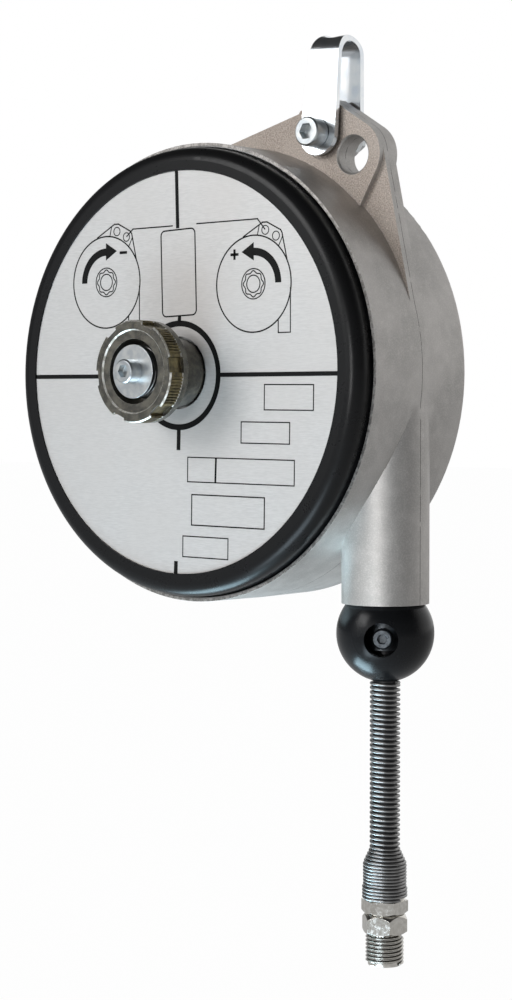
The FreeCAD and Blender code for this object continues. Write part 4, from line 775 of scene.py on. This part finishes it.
def print_plate():
    """Ring, cross, data frames and turning signs, as a film of ink."""
    edge, middle_z, ring, wide = 69.2, -0.9, 18.0, 1.5
    film, lift = 0.04 * MM, 0.05 * MM
    drawn = [
        circle((0.3, middle_z), ring, 2.05, 128),
        bar((-edge, -0.4), (-ring - 1.5, -0.9), wide), bar((ring + 2.1, -1.0), (edge, -1.3), wide),
        bar((-0.7, edge), (-0.2, 50.8), wide), bar((0.55, 18.5), (0.6, 18.95), wide),
        bar((0.2, -20.7), (0.05, -26), wide + 0.2), bar((-1.2, -66.4), (-1.3, -edge), wide + 0.2),
        box(-7.9, 8.3, 49.8, 19.5, 0.5, 2, 1.4),
        box(38.5, 59.9, -4.5, -13.4, 0.4), box(28.3, 49.8, -17, -24.6, 0.4),
        box(4.1, 51.8, -29.4, -38.3, 0.4), bar((17.25, -29.8), (16.95, -37.7), 0.8),
        box(5.9, 38.9, -42.2, -53.2, 0.45), box(1.8, 22.8, -56.6, -64.2, 0.4)]
    drawn += balancer_sign((-34.3, 32.8), -1, [(10, 15.8), (13, 18.2), (31.6, 18.2)])
    drawn += balancer_sign((33.9, 29.4), 1, [(5, 18.1), (1.8, 21.7), (-25.3, 21.7)])
    piece = join("plate_print", drawn)
    piece.scale = (MM, MM, MM)
    piece.rotation_euler = (math.radians(90), 0, 0)
    piece.location = (AXIS.x, PLATE_FACE - lift, AXIS.z)
    settle(piece)
    modify(piece, "SOLIDIFY", thickness=film, offset=-1)
    paint(piece, INK)
    finish_piece(piece, "name_plate", replaces=False)


# ---------------------------------------------------------------- wound wire and threads

STEPS_A_TURN = 40
GUARD_WIRE, GUARD_RADIUS = 0.55 * MM, 5.25 * MM
FLARE_TOP, FLARE_END, THICK_TOP = 17.1 * MM, 12.1 * MM, 3.9 * MM
RETURN_WIRE, RETURN_SEAT = 0.6 * MM, 1 * MM
THREAD_SHOULDER = 10.6 * MM


def swept_wire(name, points, radius):
    """Round wire along points."""
    curve = bpy.data.curves.new(name, "CURVE")
    curve.dimensions = "3D"
    spline = curve.splines.new("POLY")
    spline.points.add(len(points) - 1)
    for slot, point in zip(spline.points, points):
        slot.co = (*point, 1)
    curve.bevel_depth = radius
    curve.bevel_resolution = 4
    curve.use_fill_caps = True
    piece = bpy.data.objects.new(name, curve)
    bpy.context.collection.objects.link(piece)
    select_only(piece)
    bpy.ops.object.convert(target="MESH")
    piece = bpy.context.object
    smooth(piece, 60)
    return piece


def coil(rows):
    """Helix about +Z through rows of (level, radius, turns to the next row)."""
    points = []
    turned = 0.0
    for (level, radius, turns), (next_level, next_radius, _) in zip(rows, rows[1:]):
        count = max(round(turns * STEPS_A_TURN), 1)
        for step in range(count):
            share = step / count
            angle = 2 * math.pi * (turned + turns * share)
            reach = radius + (next_radius - radius) * share
            points.append(Vector((reach * math.cos(angle), reach * math.sin(angle),
                                  level + (next_level - level) * share)))
        turned += turns
    return points


def guard_coil():
    """Guard spring as one wire: open coils, a close-wound flare and thick close coils at the nut."""
    top, bottom = SPRING_HIGH.z - GUARD_WIRE, SPRING_LOW.z + GUARD_WIRE
    body = GUARD_RADIUS - GUARD_WIRE
    end = (SPRING_HIGH.x - SPRING_LOW.x) / 2 - GUARD_WIRE
    rows = [(top, body, 0.75), (top - 0.3 * MM, body, 34.25), (bottom + FLARE_TOP, body, 4.3),
            (bottom + FLARE_END, end - 0.25 * MM, 6.9), (bottom + THICK_TOP + 0.5 * MM, end - 0.3 * MM, 0.4),
            (bottom + THICK_TOP, end, 3.4), (bottom, end, 0)]
    piece = swept_wire("guard_coil", [HOSE + point for point in coil(rows)], GUARD_WIRE)
    paint(piece, FINISH_OF["guard_spring"])
    finish_piece(piece, "guard_spring")


def return_coil():
    """The knob's return spring, built at rest; the real spring shortens as the knob is pulled, this coil
    does not.
    """
    radius = (RETURN_HIGH.x - RETURN_LOW.x) / 2 - RETURN_WIRE
    length = RETURN_HIGH.y - RETURN_LOW.y - 2 * RETURN_WIRE
    rows = [(0, radius, 1), (RETURN_WIRE, radius, 4), (length - RETURN_WIRE, radius, 1), (length, radius, 0)]
    start = Vector((AXIS.x, RETURN_LOW.y + RETURN_WIRE, AXIS.z))
    along_y = [start + point.xzy for point in coil(rows)]
    piece = swept_wire("return_coil", along_y, RETURN_WIRE)
    paint(piece, FINISH_OF["knob_spring"])
    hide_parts("knob_spring")
    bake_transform(piece)


def turned_nipple():
    """The nipple, its end turned down to the thread's root."""
    piece = merged_copy("hose_nipple", "nipple_body")
    for vertex in piece.data.vertices:
        arm = Vector((vertex.co.x - HOSE.x, vertex.co.y, 0))
        if vertex.co.z < NIPPLE_LOW.z + THREAD_SHOULDER and arm.length > THREAD_ROOT:
            vertex.co -= arm * (1 - THREAD_ROOT / arm.length)
    ease(piece, 0.12)
    finish_piece(piece, "hose_nipple")


def nipple_thread():
    """Helical pipe thread round the nipple's end."""
    base, top = 0.96 * THREAD_PITCH, 0.16 * THREAD_PITCH
    sunk, first_turn = 0.1 * MM, 0.8 * MM
    bpy.ops.object.select_all(action="DESELECT")
    bpy.ops.mesh.primitive_plane_add(size=1, rotation=(math.radians(90), 0, 0))
    piece = settle(bpy.context.object, "nipple_thread")
    for vertex in piece.data.vertices:
        outer = vertex.co.x > 0
        vertex.co.x = THREAD_CREST if outer else THREAD_ROOT - sunk
        vertex.co.z *= top if outer else base
    edit(piece, lambda: bpy.ops.mesh.delete(type="ONLY_FACE"))
    modify(piece, "SCREW", axis="Z", angle=2 * math.pi, iterations=THREAD_TURNS, screw_offset=THREAD_PITCH,
           steps=STEPS_A_TURN, render_steps=STEPS_A_TURN, use_smooth_shade=False)
    edit(piece, lambda: bpy.ops.mesh.remove_doubles(threshold=0.001 * MM),
         lambda: bpy.ops.mesh.fill_holes(sides=4),
         lambda: bpy.ops.mesh.normals_make_consistent(inside=False))
    piece.location = HOSE + Vector((0, 0, NIPPLE_LOW.z + first_turn))
    settle(piece)
    smooth(piece, 30)
    paint(piece, CUT_THREAD)
    finish_piece(piece, "hose_nipple", replaces=False)


# ---------------------------------------------------------------- hose

HOSE_DIAMETER = 8 * MM


def hose_tube(name, low, high, rings):
    """Straight hose on the hose line with rings along it."""
    bpy.ops.object.select_all(action="DESELECT")
    bpy.ops.mesh.primitive_cylinder_add(vertices=32, radius=HOSE_DIAMETER / 2, depth=high - low,
                                        location=(HOSE.x, 0, (low + high) / 2))
    piece = settle(bpy.context.object, name)

    def cut(level):
        bpy.ops.mesh.select_all(action="SELECT")
        bpy.ops.mesh.bisect(plane_co=(HOSE.x, 0, level), plane_no=(0, 0, 1))

    levels = [low + (high - low) * (step + 1) / (rings + 1) for step in range(rings)]
    edit(piece, *[lambda level=level: cut(level) for level in levels])
    smooth(piece)
    paint(piece, FINISH_OF["hose_lead"])
    return piece


def hose_lead():
    """Hose from the drum to the ball, a straight tube at rest; the real hose lengthens as it is pulled, this
    one does not.
    """
    low, high = corners("hose_lead")
    lead = hose_tube("air_hose_lead", low.z, high.z, 40)
    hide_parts("hose_lead")
    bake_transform(lead)


def hose_tail():
    """Hose from the ball down into the nipple: the straight cord. The pieces on it are only gathered in a
    list.
    """
    low, high = corners("hose_tail")
    tail = hose_tube("air_hose_tail", low.z, high.z, 24)
    finish_piece(tail, "hose_tail")
    on_it = [bpy.data.objects[name] for name in (
        "guard_coil", "nipple_body", "nipple_thread", "hose_nut_milled", "clamp_cap_screw")]
    on_it += [frame["nodes"][name] for name in ("stop_ball", "stop_clamp")]


# ---------------------------------------------------------------- room

CAMERA_ARM = Vector((0.49268, -0.58623, -0.01879))
CAMERA_RISE, CAMERA_TURN, CAMERA_LENS = 1.968, 39.633, 76.54
FLOOR_LEVEL, FLOOR_SIZE = -0.6, 40


def camera():
    """Camera in front of the knob, to its right."""
    data = bpy.data.cameras.new("camera")
    data.lens = CAMERA_LENS
    data.clip_start = 0.01
    item = bpy.data.objects.new("camera", data)
    item.location = AXIS + CAMERA_ARM
    item.rotation_euler = Euler((math.radians(90 - CAMERA_RISE), 0, math.radians(CAMERA_TURN)))
    bpy.context.collection.objects.link(item)
    bpy.context.scene.camera = item


def lamp(name, place, size, power, colour=(1, 1, 1), target=AXIS):
    """Square lamp of size metres and power watts, aimed at a target."""
    data = bpy.data.lights.new(name, "AREA")
    data.size = size
    data.energy = power
    data.color = colour
    item = bpy.data.objects.new(name, data)
    item.location = place
    item.rotation_euler = (Vector(target) - Vector(place)).to_track_quat("-Z", "Y").to_euler()
    bpy.context.collection.objects.link(item)


def world():
    """White room, brightest in front of and behind the object, dark overhead."""
    studio = bpy.data.worlds.new("studio")
    bpy.context.scene.world = studio
    studio.use_nodes = True
    room = Graph(studio.node_tree)
    room.tree.nodes.clear()
    x, y, z = room.parts(room.output("ShaderNodeTexCoord", "Generated"))
    path = room.node("ShaderNodeLightPath")
    front = (x * -0.19 - y * 0.98).between(0.7, 0.95)
    behind = y.between(0.45, 0.8)
    overhead = z.between(0.2, 0.65)
    glow = (0.17 + front * 0.9 + behind * 0.6) * (1 - overhead * 0.75)
    seen = Socket(room, path.outputs["Is Camera Ray"]).math(
        "MAXIMUM", Socket(room, path.outputs["Is Transmission Ray"]))
    seen = seen.math("MAXIMUM", Socket(room, path.outputs["Is Glossy Ray"]) * behind)
    background = room.node("ShaderNodeBackground", None, {
        "Color": (1, 1, 1), "Strength": glow * (1 - seen) + seen})
    output = room.node("ShaderNodeOutputWorld")
    room.tree.links.new(background.outputs[0], output.inputs["Surface"])


def floor():
    """Pale floor, white to the eye, that keeps the shadow."""
    bpy.ops.object.select_all(action="DESELECT")
    bpy.ops.mesh.primitive_plane_add(size=FLOOR_SIZE, location=(0, 0, FLOOR_LEVEL))
    piece = settle(bpy.context.object, "floor")
    paper = Finish("floor_paper", (0.85, 0.85, 0.85), 0.9)
    path = paper.node("ShaderNodeLightPath")
    glow = paper.node("ShaderNodeEmission", None, {"Color": (1, 1, 1), "Strength": 1.0})
    to_eye, in_metal = 0.985, 0.4
    share = (Socket(paper, path.outputs["Is Camera Ray"]) * to_eye).math(
        "MAXIMUM", Socket(paper, path.outputs["Is Glossy Ray"]) * in_metal)
    mixer = paper.node("ShaderNodeMixShader", None, {0: share})
    paper.tree.links.new(paper.shader.outputs[0], mixer.inputs[1])
    paper.tree.links.new(glow.outputs[0], mixer.inputs[2])
    paper.tree.links.new(mixer.outputs[0], paper.tree.nodes["Material Output"].inputs["Surface"])
    paint(piece, paper.material)


def room():
    """Camera, white surroundings, floor and four lamps."""
    camera()
    world()
    floor()
    lamp("key_lamp", (-0.44, -0.95, 0.38), 0.5, 4.6)
    lamp("front_lamp", (0.3, -1.05, -0.1), 0.2, 2)
    lamp("floor_lamp", (0.0, -0.38, -0.56), 0.3, 2, colour=(0.72, 0.88, 1))
    ball = HOSE + Vector((0, 0, -0.2))
    lamp("low_lamp", (-0.2, -0.07, -0.55), 0.2, 1.9, colour=(0.6, 0.86, 1), target=ball)
    bpy.context.scene.view_settings.view_transform = "Standard"


dress_cad_pieces()
housing_casting()
knob_casting()
neck_lip()
knurl_ridges()
print_plate()
guard_coil()
return_coil()
turned_nipple()
nipple_thread()
hose_lead()
hose_tail()
room()
